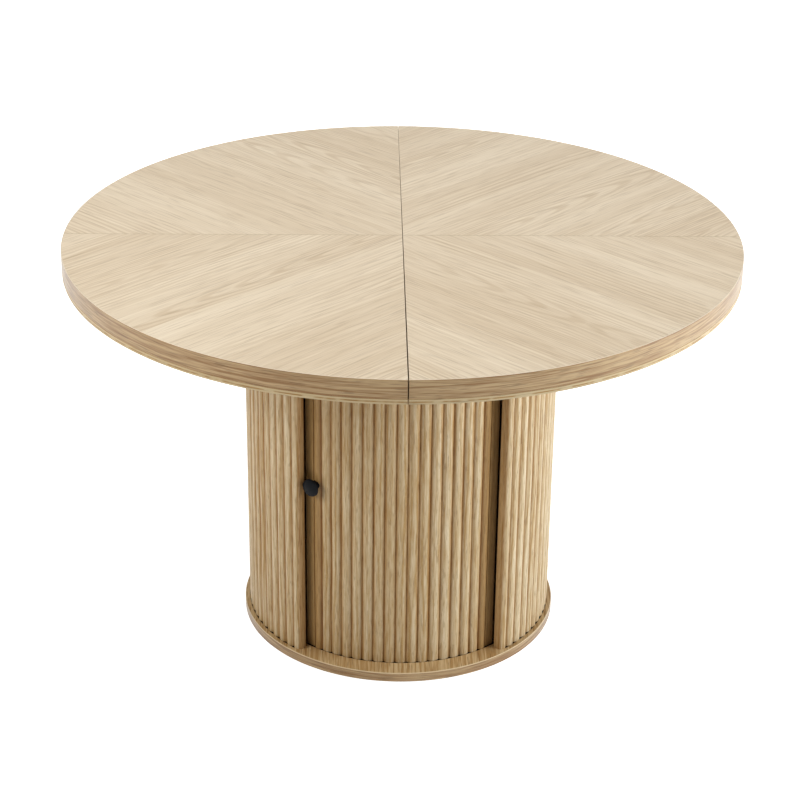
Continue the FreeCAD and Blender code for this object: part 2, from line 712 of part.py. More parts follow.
def door_slat(number):
    """One slat of the door, counted from the left, rounded in front and flat at the sides.

    The first and the last slat are narrower than the rest."""
    joint = spread(SLAT_JOINT / 2, DOOR_RADIUS)
    edge = (number + END_SLAT_SHARE) * SLAT_ANGLE - FLUTED_BEARING
    start = max(edge - SLAT_ANGLE, -FLUTED_BEARING) + joint
    end = min(edge, FLUTED_BEARING) - joint
    edges = [
        line(at(SLAT_BACK_RADIUS, start), at(SLAT_VALLEY_RADIUS, start)),
        bow(at(SLAT_VALLEY_RADIUS, start), at(DOOR_RADIUS, (start + end) / 2), at(SLAT_VALLEY_RADIUS, end)),
        line(at(SLAT_VALLEY_RADIUS, end), at(SLAT_BACK_RADIUS, end)),
        ring_bow(SLAT_BACK_RADIUS, end, start),
    ]
    slat = prism(edges, DOOR_BOTTOM, DOOR_HEIGHT)
    if number == 0:
        slat = slat.cut([knob_seat(), knob_screw(FIT)])
    return slat


def door_stile(side):
    """The smooth strip at one end of the door, which runs on behind the wall."""
    joint = spread(SLAT_JOINT / 2, DOOR_RADIUS)
    near = side * (FLUTED_BEARING + joint)
    far = side * DOOR_BEARING
    face = DOOR_RADIUS - STILE_SETBACK
    return ring_segment(SLAT_BACK_RADIUS, face, min(near, far), max(near, far), DOOR_BOTTOM, DOOR_HEIGHT)


def door_backing():
    """The cloth glued behind the slats and stiles, clear of the grooves."""
    sheet = ring_segment(
        BACKING_INNER_RADIUS,
        BACKING_OUTER_RADIUS,
        -DOOR_BEARING,
        DOOR_BEARING,
        BASE_TOP + BACKING_END_GAP,
        CARCASS_HEIGHT - 2 * BACKING_END_GAP,
    )
    return sheet.cut(knob_screw(FIT))


def knob_axis_point(radius):
    """The point on the knob's axis at a radius from the drum's axis."""
    return at(radius, KNOB_BEARING, KNOB_HEIGHT)


def knob_seat():
    """The shallow round seat that the knob's stem sits in."""
    blank = Part.makeCylinder(KNOB_STEM_DIAMETER / 2 + FIT, KNOB_SEAT_DEPTH + OVERRUN)
    return placed(blank, knob_axis_point(DOOR_RADIUS - KNOB_SEAT_DEPTH), outward(KNOB_BEARING))


def knob_screw(room=0):
    """The screw from behind the backing through the slat into the knob."""
    head_face = BACKING_INNER_RADIUS - GLUE_LINE
    length = DOOR_RADIUS - KNOB_SEAT_DEPTH - head_face + KNOB_SCREW_BITE
    screw = pan_head_screw(
        KNOB_SCREW_DIAMETER, KNOB_SCREW_HEAD_DIAMETER, KNOB_SCREW_HEAD_HEIGHT, length, room
    )
    return placed(screw, knob_axis_point(head_face), outward(KNOB_BEARING))


def door_knob():
    """The turned knob: a stem that flares into a domed head with a round shoulder."""
    length = KNOB_SEAT_DEPTH + KNOB_PROJECTION
    stem = KNOB_STEM_DIAMETER / 2
    rim = KNOB_HEAD_DIAMETER / 2
    under_head = length - KNOB_HEAD_THICKNESS
    dome_middle = length - KNOB_DOME_RADIUS
    shoulder_reach = rim - KNOB_SHOULDER_RADIUS
    shoulder_gap = KNOB_DOME_RADIUS - KNOB_SHOULDER_RADIUS
    shoulder_height = dome_middle + math.sqrt(shoulder_gap ** 2 - shoulder_reach ** 2)
    tilt = math.asin(shoulder_reach / shoulder_gap)
    under_radius = shoulder_height - under_head

    def on_corner(reach, height, radius, angle):
        return on_profile(reach + radius * math.sin(angle), height + radius * math.cos(angle))

    def on_dome(angle):
        return on_corner(0, dome_middle, KNOB_DOME_RADIUS, angle)

    side = math.pi / 2
    rim_point = on_profile(rim, shoulder_height)
    under_rim = on_profile(rim - under_radius, under_head)
    flare_foot = on_profile(stem, under_head - KNOB_FLARE)
    under_middle = on_corner(rim - under_radius, shoulder_height, under_radius, side * 3 / 2)
    shoulder_middle = on_corner(shoulder_reach, shoulder_height, KNOB_SHOULDER_RADIUS, (side + tilt) / 2)
    edges = [
        line(on_profile(0, 0), on_profile(stem, 0)),
        line(on_profile(stem, 0), flare_foot),
        line(flare_foot, under_rim),
        bow(under_rim, under_middle, rim_point),
        bow(rim_point, shoulder_middle, on_dome(tilt)),
        bow(on_dome(tilt), on_dome(tilt / 2), on_dome(0)),
        line(on_dome(0), on_profile(0, 0)),
    ]
    knob = placed(turned(edges), knob_axis_point(DOOR_RADIUS - KNOB_SEAT_DEPTH), outward(KNOB_BEARING))
    return knob.cut(knob_screw(FIT))


def table_top_parts():
    """The two halves of the top and what joins them."""
    parts = {}
    for word, side in (("left", LEFT), ("right", RIGHT)):
        parts["veneer_front_" + word] = veneer(side, -1)
        parts["veneer_back_" + word] = veneer(side, 1)
        upper = half_round(disc(BOARD_RADIUS, TOP_BOARD_BOTTOM, TOP_BOARD_THICKNESS), side)
        parts["top_board_" + word] = bored_half(upper)
        parts["top_edge_band_" + word] = band_half(TOP_BOARD_BOTTOM, TABLE_HEIGHT - TOP_BOARD_BOTTOM, side)
        blank = disc(BOARD_RADIUS, TOP_UNDERSIDE, LOWER_BOARD_THICKNESS)
        lower = half_round(blank, side, LOWER_BOARD_GAP, LOWER_BOARD_GAP)
        parts["lower_board_" + word] = bored_half(lower)
        parts["lower_edge_band_" + word] = band_half(TOP_UNDERSIDE, LOWER_BOARD_THICKNESS, side)
    plates = [joining_plate(station) for station in joining_plate_stations()]
    parts["seam_dowels"] = Part.makeCompound([seam_dowel(point, 0) for point in seam_dowel_points()])
    parts["joining_plates"] = Part.makeCompound(plates)
    parts["joining_plate_screws"] = Part.makeCompound(joining_screws())
    return parts


def bolting_parts():
    """The bolts, washers and inserts between the cap plate and the top."""
    washer_bottom = CAP_BOTTOM - WASHER_THICKNESS
    bolt = top_bolt()
    bolts = [placed(bolt, point + UP * washer_bottom, UP) for point in bolt_points()]
    bores = bolt_holes(BOLT_DIAMETER + 2 * FIT, washer_bottom, TABLE_HEIGHT - washer_bottom)
    washers = [blank.cut(bores) for blank in bolt_holes(WASHER_DIAMETER, washer_bottom, WASHER_THICKNESS)]
    inserts = [blank.cut(bores) for blank in bolt_holes(INSERT_DIAMETER, TOP_UNDERSIDE, INSERT_LENGTH)]
    return {
        "top_bolts": Part.makeCompound(bolts),
        "bolt_washers": Part.makeCompound(washers),
        "threaded_inserts": Part.makeCompound(inserts),
    }


def drum_parts():
    """The plates, the fixed walls and what fastens them."""
    return {
        "base_plate": base_plate(),
        "base_edge_band": plate_band(GLIDE_HEIGHT),
        "cap_plate": cap_plate(),
        "cap_edge_band": plate_band(CAP_BOTTOM),
        "left_wall": fluted_wall(LEFT),
        "right_wall": fluted_wall(RIGHT),
        "rear_cleat": rear_cleat(),
        "cleat_screws": Part.makeCompound(cleat_screws()),
        "wall_screws": Part.makeCompound(wall_screws()),
        "foot_glides": Part.makeCompound([foot_glide(point) for point in glide_points()]),
    }


def carcass_parts():
    """The boards inside the drum and their fittings."""
    slots = cam_studs(BOARDS, CAM_SLOT_CLEARANCE)
    return {
        "left_upright": upright("left_upright", LEFT),
        "right_upright": upright("right_upright", RIGHT),
        "back_board": back_board(),
        "shelf": shelf(),
        "shelf_pins": Part.makeCompound([shelf_pin(point, way) for point, way in shelf_pin_points()]),
        "cam_discs": Part.makeCompound([blank.cut(slots) for blank in cam_blanks(BOARDS)]),
        "cam_studs": Part.makeCompound(cam_studs(BOARDS)),
        "board_dowels": Part.makeCompound(board_dowels(BOARDS)),
        "board_screws": Part.makeCompound(board_screws()),
    }


def door_parts():
    """The sliding door, slat by slat."""
    parts = {}
    for number in range(SLAT_COUNT):
        parts["door_slat_%02d" % (number + 1)] = door_slat(number)
    parts["door_left_stile"] = door_stile(LEFT)
    parts["door_right_stile"] = door_stile(RIGHT)
    parts["door_backing"] = door_backing()
    parts["door_knob"] = door_knob()
    parts["knob_screw"] = knob_screw()
    return parts


def main():
    """Builds every piece and writes each to its own file."""
    os.makedirs("parts", exist_ok=True)
    pieces = {**table_top_parts(), **bolting_parts(), **drum_parts(), **carcass_parts(), **door_parts()}
    for name, shape in pieces.items():
        if not shape.isValid():
            raise ValueError("piece is not a sound solid: " + name)
        shape.exportStep("parts/" + name + ".step")
    print(len(pieces), "pieces")


main()
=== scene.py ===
import math
from collections import namedtuple

import bpy
import numpy as np
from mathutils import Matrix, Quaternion, Vector


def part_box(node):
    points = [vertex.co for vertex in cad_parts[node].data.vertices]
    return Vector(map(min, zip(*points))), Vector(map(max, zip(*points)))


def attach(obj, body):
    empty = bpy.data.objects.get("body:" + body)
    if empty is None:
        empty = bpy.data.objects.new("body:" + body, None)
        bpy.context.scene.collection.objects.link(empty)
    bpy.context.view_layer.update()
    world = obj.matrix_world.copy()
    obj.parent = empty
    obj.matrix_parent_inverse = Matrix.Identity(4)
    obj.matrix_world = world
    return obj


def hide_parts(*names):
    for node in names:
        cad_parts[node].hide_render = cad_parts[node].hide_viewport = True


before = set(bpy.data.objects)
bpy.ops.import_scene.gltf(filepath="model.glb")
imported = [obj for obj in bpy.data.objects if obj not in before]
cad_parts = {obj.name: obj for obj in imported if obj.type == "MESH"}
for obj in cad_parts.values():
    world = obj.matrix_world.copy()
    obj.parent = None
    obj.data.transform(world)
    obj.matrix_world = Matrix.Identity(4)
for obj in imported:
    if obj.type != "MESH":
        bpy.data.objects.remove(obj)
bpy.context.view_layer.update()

bl_info = {
    "name": "Round table with a drum cabinet",
    "version": (1, 0, 0),
    "blender": (4, 5, 0),
    "location": "3D View > Sidebar > Round table",
    "description": "Dresses the packed frame of a round oak table: bands, walls, door, finishes and stage",
    "category": "Object",
}

# Names that the pieces, finishes and shared effects use
GRAIN = "grain"
SHADE = "shade"
CABINET = "cabinet"
DOOR = "door"
VENEERS = {
    "veneer_front_left": -1,
    "veneer_front_right": 1,
    "veneer_back_left": 1,
    "veneer_back_right": -1,
}
STANDING_BOARDS = ("left_upright", "right_upright", "back_board")
PLATES = ("base_plate", "cap_plate")
PRESSED_BOARDS = (
    "top_board_left",
    "top_board_right",
    "lower_board_left",
    "lower_board_right",
    "rear_cleat",
)
DOWELS = ("seam_dowels", "board_dowels")
STEEL_FITTINGS = (
    "joining_plates",
    "joining_plate_screws",
    "top_bolts",
    "bolt_washers",
    "cleat_screws",
    "wall_screws",
    "shelf_pins",
    "cam_discs",
    "cam_studs",
    "board_screws",
    "knob_screw",
)

# Levels and radii read from the frame, in metres
TOP_LOW, TOP_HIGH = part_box("top_edge_band_right")
STRIP_LOW, STRIP_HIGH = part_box("lower_edge_band_right")
BASE_LOW, BASE_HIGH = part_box("base_edge_band")
CAP_LOW, CAP_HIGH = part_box("cap_edge_band")
WALL_LOW, WALL_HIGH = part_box("right_wall")
SLAT_LOW, SLAT_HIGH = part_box("door_slat_01")
KNOB_LOW, KNOB_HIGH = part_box("door_knob")

# Fineness of the surfaces
FLUTE_POINTS = 15
ARC_POINTS = 9
ROUNDING_POINTS = 5
TURN_STEPS = 64
RIM_STEPS = 240
SHARP_ANGLE = math.radians(35)

# Flat beside a band's rounded edge as a share of its radius, and the outer corners of an upright section
ROUNDING_FLAT = 0.7
OUTER_CORNERS = (1, 2)

# Marks on the wood, among them painted highlights along the top edges of the bands and painted shade in the
# grooves, in metres: heights, depths, and pairs of distances between which a mark comes up
RIM_HIGHLIGHT_HEIGHT = 0.0005
PLATE_HIGHLIGHT_HEIGHT = 0.0022
RIM_LINE = (-0.0028, -0.0012)
STRIP_EDGE = (-0.0012, -0.0002)
STRIP_LINE_DROP = 0.0048
STRIP_LINE = (0.0016, 0.0006)
JOINT_LINE = (0.0011, 0.0005)
GROOVE_SHADE_DEPTH = 0.0003

# Shares and levels of the marks, from 0 to 1
HIGHLIGHT_FULL_SHARE = 0.25
STRIP_GAPS = (0.38, 0.55)
# Levels of the painted shade in the valleys of the flutes and on the bare ends
VALLEY_SHADE = (0.1, 1.0)
END_SHADE = 0.82
BAND_SHEEN = 0.35

# Places in the wood from which pieces and staves are cut, in metres
VENEER_SLIP = (0.61, 0.037, 0.37)
UPRIGHT_DEPTHS = {CABINET: 0, DOOR: 1}
STAVE_SLIP = 3.7

# Noises of the oak's figure: cycles for each metre along and across the grain, detail and roughness
STREAK_NOISE = (1.3, 24.0, 3.0, 0.6)
WARP_NOISE = (1.7, 8.0, 2.0, 0.5)
RING_FADE_NOISE = (1.1, 11.0, 1.0, 0.5)
FIBRE_NOISE = (9.0, 430.0, 2.0, 0.5)
HAIR_NOISE = (3.2, 210.0, 2.0, 0.6)
PORE_NOISE = (14.0, 430.0, 1.0, 0.5)
STRIP_GAP_NOISE = (30.0, 0.0, 2.0, 0.5)

# Rings of the oak's figure, straight and arched, and the levels between which they and the pores come up
RINGS_PER_METRE = 95.0
RING_WARP = 5.5
ARCH_RINGS_PER_METRE = 180.0
ARCH_WARP = 1.4
ARCH_SPAN = 0.9
ARCH_SLOPE = 0.06
HEART_SPREAD = 0.5
RING_EDGE = (-0.2, 1.0)
RING_FADE = (0.35, 0.65)
PORE_EDGE = (0.56, 0.68)

# Tone, gloss and relief of the oak's figure, with its bump as a distance in metres and a strength
MIDDLE_TONE = 0.42
STAVE_TONE = 0.34
FIBRE_ROUGHNESS = 0.14
FIBRE_HEIGHT = 0.35
RING_HEIGHT = -0.25
OAK_BUMP = (0.0004, 0.25)

# How strong each part of the figure is on each oak finish, with the width of a stave in metres
FIGURE_PARTS = (
    "Stave width", "Shortness", "Streaks", "Rings", "Arches", "Fibres", "Pores", "Least roughness"
)
FIGURES = {
    "veneer": (0.083, 1.0, 1.0, 0.5, 0.55, 0.85, 0.36, 0.4),
    "flute": (0.11, 3.5, 1.2, 0.5, 0.0, 1.3, 0.35, 0.36),
    "band": (0.05, 1.7, 0.6, 0.45, 0.0, 2.5, 0.5, 0.26),
    "strip": (0.05, 1.7, 0.6, 0.45, 0.0, 0.8, 0.35, 0.26),
    "board": (0.12, 2.0, 1.3, 0.5, 0.0, 1.1, 0.55, 0.4),
    "plate": (0.12, 2.0, 2.8, 0.5, 0.0, 3.0, 0.55, 0.4),
}
SPECULARS = {"veneer": 0.5, "flute": 0.25, "band": 0.3, "strip": 0.2, "board": 0.2, "plate": 0.2}

# Oak-faced boards: turn that lays the grain along one axis, depth in the wood, and figure
BOARDS = {
    "Oak board, upright grain": ((0.0, -math.pi / 2, 0.0), 5.52, "board"),
    "Oak board, grain across": ((0.0, 0.0, 0.0), 5.29, "board"),
    "Oak plate, grain front to back": ((0.0, 0.0, math.pi / 2), 6.9, "plate"),
}

# Patterns: stretch, detail and roughness of a noise, and the levels between which its mask comes up
PATTERNS = {
    "Fine speckle": ((1.0, 1.0, 1.0), 3.0, 0.7, 0.38, 0.66),
    "Brushed lines": ((0.04, 1.0, 1.0), 2.0, 0.5, 0.3, 0.7),
}

# Plain finishes: grains for each metre, bump in metres, and the rise of the roughness in the pattern
Plain = namedtuple("Plain", "colour pattern grains darkening roughness rise bump strength specular metallic")
PLAIN_FINISHES = {
    "Matt black paint": Plain("black_paint", "Fine speckle", 2600.0, 0.3, 0.5, 0.12, 0.00005, 0.4, 0.1, 0.0),
    "Pressed board": Plain("pressed_board", "Fine speckle", 700.0, 0.25, 0.75, 0.12, 0.0003, 0.4, 0.5, 0.0),
    "Beech": Plain("beech", "Fine speckle", 900.0, 0.12, 0.55, 0.12, 0.0001, 0.4, 0.5, 0.0),
    "Nylon": Plain("nylon", "Fine speckle", 1500.0, 0.1, 0.5, 0.12, 0.0001, 0.4, 0.5, 0.0),
    "Zinc plated steel": Plain("zinc", "Brushed lines", 900.0, 0.18, 0.32, 0.14, 0.0001, 0.3, 0.5, 1.0),
    "Brass": Plain("brass", "Brushed lines", 1200.0, 0.18, 0.3, 0.14, 0.0001, 0.3, 0.5, 1.0),
}

# Cloth, with its threads in radians for each metre, and floor
THREAD_TURNS = 5200.0
CLOTH_DARKENING = 0.45
CLOTH_ROUGHNESS = 0.9
CLOTH_BUMP = (0.0003, 0.5)
FLOOR_GRAINS = 40.0
FLOOR_DARKENING = 0.03
FLOOR_ROUGHNESS = 0.9
FLOOR_SPECULAR = 0.1
WHITE = (1.0, 1.0, 1.0, 1.0)

# Lights: the property that holds their power, their place and size in metres, and their tint
LIGHT_TARGET = Vector((0.0, 0.0, 0.4))
LIGHTS = (
    ("top_light", (0.0, 0.0, 3.6), 3.5, (1.0, 1.0, 1.0)),
    ("left_light", (-2.6, -1.5, 2.0), 1.5, (1.0, 0.99, 0.96)),
    ("right_light", (3.2, -1.05, 1.1), 1.5, (0.95, 1.0, 1.06)),
    ("back_light", (0.0, 3.6, 0.5), 0.9, (1.0, 1.0, 1.0)),
)

# The camera's sensor in millimetres, and how far it sees in radii of the floor
SENSOR_WIDTH = 36.0
VIEW_DEPTH = 4


def linear(red, green, blue):
    """The linear colour of a display colour that is given in steps of 255, by the sRGB curve."""
    display = np.array((red, green, blue)) / 255
    steep = ((display + 0.055) / 1.055) ** 2.4
    return tuple(np.where(display > 0.04045, steep, display / 12.92).tolist())


def length(name, description, default):
    """A length property in metres."""
    return bpy.props.FloatProperty(
        name=name, description=description, default=default, min=0, precision=4, unit="LENGTH"
    )


def angle(name, description, degrees):
    """An angle property, given in degrees."""
    return bpy.props.FloatProperty(
        name=name, description=description, default=math.radians(degrees), subtype="ANGLE"
    )


def amount(name, description, default):
    """A plain number property."""
    return bpy.props.FloatProperty(name=name, description=description, default=default, precision=4)


def count(name, description, default):
    """A whole number property."""
    return bpy.props.IntProperty(name=name, description=description, default=default)


def colour(name, description, red, green, blue):
    """A colour property, given as a display colour in steps of 255."""
    return bpy.props.FloatVectorProperty(
        name=name, description=description, default=linear(red, green, blue), subtype="COLOR", min=0, max=1
    )


class TableSizes(bpy.types.PropertyGroup):
    """Sizes of the pieces that are drawn over the frame."""

    top_radius: length("Top radius", "Radius of the round top", TOP_HIGH.y)
    plate_radius: length("Plate radius", "Radius of the base plate and the cap plate", BASE_HIGH.x)
    seam_front: length("Seam at the front", "Gap between the halves of the top at the front", 0.002)
    seam_back: length("Seam at the back", "Gap between the halves of the top at the back", 2 * TOP_LOW.x)
    band_thickness: length("Band thickness", "Thickness of the edge bands", 0.0012)
    band_rounding: length("Band rounding", "Radius of the rounded edges of the bands", 0.0006)
    wall_radius: length("Wall radius", "Radius of the crests of the fluted walls", 0.284)
    wall_thickness: length("Wall thickness", "Thickness of the walls at the crests", 0.017)
    wall_flute_depth: length("Wall flute depth", "Depth of the valleys of the walls", 0.0045)
    wall_flutes: count("Wall flutes", "Whole flutes on each wall", 32)
    end_flute_share: amount("End flute share", "Width of the end flute as a share of a whole one", 0.85)
    end_crest_share: amount("End crest share", "Place of the end flute's crest across its width", 0.53)
    end_corner_drop: length("End corner drop", "Drop of the corner at the opening under the crests", 0.007)
    wall_shoulder: length("Wall shoulder", "Length of each wall that stands beside the groove", 0.014)
    rear_joint: length("Rear joint", "Gap between the walls at the back", 0.0004)
    opening: angle("Opening", "Angle of the opening between the walls", 80.6)
    door_radius: length("Door radius", "Radius of the crests of the slats", 0.258)
    slat_thickness: length("Slat thickness", "Thickness of the slats at the crests", 0.012)
    slat_flute_depth: length("Slat flute depth", "Depth of the valleys between the slats", 0.004)
    slat_joint: length("Slat joint", "Gap between neighbouring slats", 0.0003)
    slats: count("Slats", "Number of slats in the door", 17)
    end_slat_share: amount("End slat share", "Width of the end slats as a share of the others", 0.85)
    stile_setback: length("Stile setback", "How far the stiles lie under the crests of the slats", 0.003)
    stile_show: angle("Stile show", "Angle of each stile that shows in the opening", 2.6)
    door_overlap: angle("Door overlap", "Angle of each stile that lies behind a wall", 1.5)
    knob_place: amount("Knob place", "Place of the knob across its slat, from the left edge", 0.36)
    knob_projection: length("Knob projection", "How far the knob stands out from the slat", 0.021)
    knob_seat: length("Knob seat", "How deep the stem sits in the slat", 0.003)
    knob_head_radius: length("Knob head radius", "Radius of the knob's head", 0.0165)
    knob_head_thickness: length("Knob head thickness", "Thickness of the knob's head", 0.009)
    knob_dome_radius: length("Knob dome radius", "Radius of the dome on the knob's head", 0.03)
    knob_shoulder_radius: length("Knob shoulder radius", "Radius of the rounding round the dome", 0.004)
    knob_stem_radius: length("Knob stem radius", "Radius of the knob's stem", 0.008)
    knob_flare: length("Knob flare", "Length of the flare under the head", 0.004)


class TableColours(bpy.types.PropertyGroup):
    """Colours of the finishes."""

    veneer_pale: colour("Veneer, pale", "Pale wood of the top", 228, 212, 186)
    veneer_deep: colour("Veneer, deep", "Darker streaks of the top", 200, 178, 147)
    veneer_pore: colour("Veneer, pores", "Fine pores of the top", 158, 134, 105)
    joint_line: colour("Joint line", "Tint along the joint across the top", 222, 217, 208)
    flute_pale: colour("Flutes, pale", "Pale wood of the walls and the door", 214, 196, 162)
    flute_deep: colour("Flutes, deep", "Darker streaks of the walls and the door", 172, 139, 89)
    flute_pore: colour("Flutes, pores", "Fine pores of the walls and the door", 124, 94, 57)
    # Painted shade of the valleys and the bare ends; the same tint draws the dark lines of the lower strip
    valley_shade_and_strip_lines: colour("Valley shade and strip lines", "Painted shade of the valleys and the bare ends, and tint of the lower strip's lines", 214, 188, 152)
    rim_line: colour("Rim line", "Tint of the line under the lips of the bands", 240, 231, 216)
    # Painted highlight along the rounded top edge of the plate bands
    plate_edge_highlight: colour("Plate edge highlight", "Painted highlight along the rounded edge of the plates", 224, 202, 162)
    # Painted shade in the grooves of the base plate and on the feet of the walls inside them
    groove_painted_shade: colour("Groove painted shade", "Painted shade in the grooves of the base plate", 60, 46, 34)
    # Tones of the fluted oak darkened as painted shade, where the walls shade the stiles and the end slats
    stile_pale: colour("Stiles, pale", "Pale wood of the stiles and the end slats, darkened as painted shade", 177, 142, 93)
    stile_deep: colour("Stiles, deep", "Darker streaks of the stiles and the end slats, darkened as painted shade", 147, 114, 69)
    stile_pore: colour("Stiles, pores", "Fine pores of the stiles and the end slats, darkened as painted shade", 112, 83, 46)
    band_pale: colour("Bands, pale", "Pale wood of the edge bands", 187, 158, 115)
    band_deep: colour("Bands, deep", "Darker streaks of the edge bands", 141, 103, 60)
    band_pore: colour("Bands, pores", "Fine pores of the edge bands", 103, 76, 45)
    board_pale: colour("Boards, pale", "Pale wood of the plates and the boards inside", 206, 181, 138)
    board_deep: colour("Boards, deep", "Darker streaks of the plates and the boards inside", 172, 137, 89)
    board_pore: colour("Boards, pores", "Fine pores of the plates and the boards inside", 133, 97, 59)
    strip_pale: colour("Lower strip, pale", "Pale wood of the strip under the rim", 212, 192, 154)
    strip_deep: colour("Lower strip, deep", "Darker streaks of the strip under the rim", 188, 165, 125)
    strip_pore: colour("Lower strip, pores", "Fine pores of the strip under the rim", 103, 76, 45)
    pressed_board: colour("Pressed board", "Bare pressed board inside the top", 186, 158, 122)
    beech: colour("Beech", "Beech of the dowels", 214, 180, 140)
    cloth: colour("Cloth", "Woven cloth behind the slats", 62, 54, 46)
    black_paint: colour("Black paint", "Matt paint of the knob", 15, 17, 20)
    zinc: colour("Zinc", "Zinc plate on the steel fittings", 196, 197, 194)
    brass: colour("Brass", "Brass of the threaded inserts", 200, 164, 92)
    nylon: colour("Nylon", "Nylon of the glides", 178, 168, 152)
    floor: colour("Floor", "Plain pale floor", 236, 236, 236)


class StageSettings(bpy.types.PropertyGroup):
    """Camera and lights."""

    target_height: length("Target height", "Height of the point that the camera looks at", 0.38)
    camera_distance: length("Camera distance", "Distance of the camera from that point", 3.99586)
    camera_azimuth: angle("Camera azimuth", "Way of the camera round the table, from the front", -1.12)
    camera_pitch: angle("Camera pitch", "How far the camera looks down", 26.436)
    camera_roll: angle("Camera roll", "Turn of the camera about its line of sight", 0.676)
    camera_lens: amount("Camera lens", "Focal length in millimetres", 97.27)
    camera_shift_x: amount("Camera shift across", "Shift of the frame as a share of its width", -0.00049)
    camera_shift_y: amount("Camera shift up", "Shift of the frame as a share of its width", 0.02749)
    ambient: amount("Ambient", "Light from all round", 0.1)
    top_light: amount("Top light", "Power of the light overhead, in watts", 72.5)
    left_light: amount("Left light", "Power of the light on the left, in watts", 59.0)
    right_light: amount("Right light", "Power of the light on the right, in watts", 104.0)
    back_light: amount("Back light", "Power of the light behind the table, in watts", 16.0)
    floor_glow: amount("Floor glow", "Share of white that the camera sees in the floor", 0.88)
    floor_size: length("Floor size", "Radius of the floor", 30.0)


# Shared helpers for shader nodes
def fill(tree, node, inputs):
    """Gives inputs of a node their values, or links from sockets."""
    for key, value in inputs.items():
        if isinstance(value, bpy.types.NodeSocket):
            tree.links.new(value, node.inputs[key])
        else:
            node.inputs[key].default_value = value


def add_node(tree, kind, inputs, **settings):
    """Adds a node with its settings and inputs, and gives its outputs."""
    made = tree.nodes.new(kind)
    for name, value in settings.items():
        setattr(made, name, value)
    fill(tree, made, inputs)
    return made.outputs


def reckon(tree, operation, *values):
    """The result of a Math node on up to three values or sockets."""
    return add_node(tree, "ShaderNodeMath", dict(enumerate(values)), operation=operation)[0]


def times(tree, first, second):
    """The product of two values or sockets."""
    return reckon(tree, "MULTIPLY", first, second)


def times_plus(tree, first, second, third):
    """The product of two values or sockets, and a third added to it."""
    return reckon(tree, "MULTIPLY_ADD", first, second, third)


def centred(tree, value, strength):
    """A value from 0 to 1, moved to lie about 0 and scaled by a strength."""
    return times(tree, reckon(tree, "SUBTRACT", value, 0.5), strength)


def ramp(tree, value, low, high):
    """A value that rises smoothly from 0 to 1 while its source goes from low to high."""
    inputs = {"Value": value, "From Min": low, "From Max": high}
    return add_node(tree, "ShaderNodeMapRange", inputs, interpolation_type="SMOOTHSTEP")[0]


def blend(tree, factor, first, second, way="MIX"):
    """A colour mixed from two by a factor, or the first one multiplied by the second."""
    inputs = {0: factor, 6: first, 7: second}
    return add_node(tree, "ShaderNodeMix", inputs, data_type="RGBA", blend_type=way)[2]


def vector_of(tree, x, y, z):
    """A vector from three values or sockets."""
    return add_node(tree, "ShaderNodeCombineXYZ", {0: x, 1: y, 2: z})[0]


def parts_of(tree, vector):
    """The three parts of a vector."""
    return add_node(tree, "ShaderNodeSeparateXYZ", {0: vector})


def own_place(tree):
    """The coordinates of a piece's own space."""
    return add_node(tree, "ShaderNodeTexCoord", {})["Object"]


def noise(tree, vector, detail, roughness):
    """Smooth noise from 0 to 1 at a vector that already has its scale."""
    inputs = {"Vector": vector, "Scale": 1.0, "Detail": detail, "Roughness": roughness}
    return add_node(tree, "ShaderNodeTexNoise", inputs)[0]


def grain_noise(tree, parts, along, across, detail, roughness):
    """Noise at grain coordinates, with a scale along the grain and one across it."""
    vector = vector_of(tree, times(tree, parts[0], along), times(tree, parts[1], across), parts[2])
    return noise(tree, vector, detail, roughness)


def new_group(name, inputs, outputs):
    """A new shader node group with named sockets, with the sockets of its inputs and its end node."""
    group = bpy.data.node_groups.new(name, "ShaderNodeTree")
    for label, kind in inputs:
        group.interface.new_socket(name=label, in_out="INPUT", socket_type="NodeSocket" + kind)
    for label, kind in outputs:
        group.interface.new_socket(name=label, in_out="OUTPUT", socket_type="NodeSocket" + kind)
    return group, group.nodes.new("NodeGroupInput").outputs, group.nodes.new("NodeGroupOutput")


def place_group(tree, name, maker, inputs):
    """Places a shared node group, made when it is first asked for, and gives its outputs."""
    group = bpy.data.node_groups.get(name) or maker(name)
    return add_node(tree, "ShaderNodeGroup", inputs, node_tree=group)


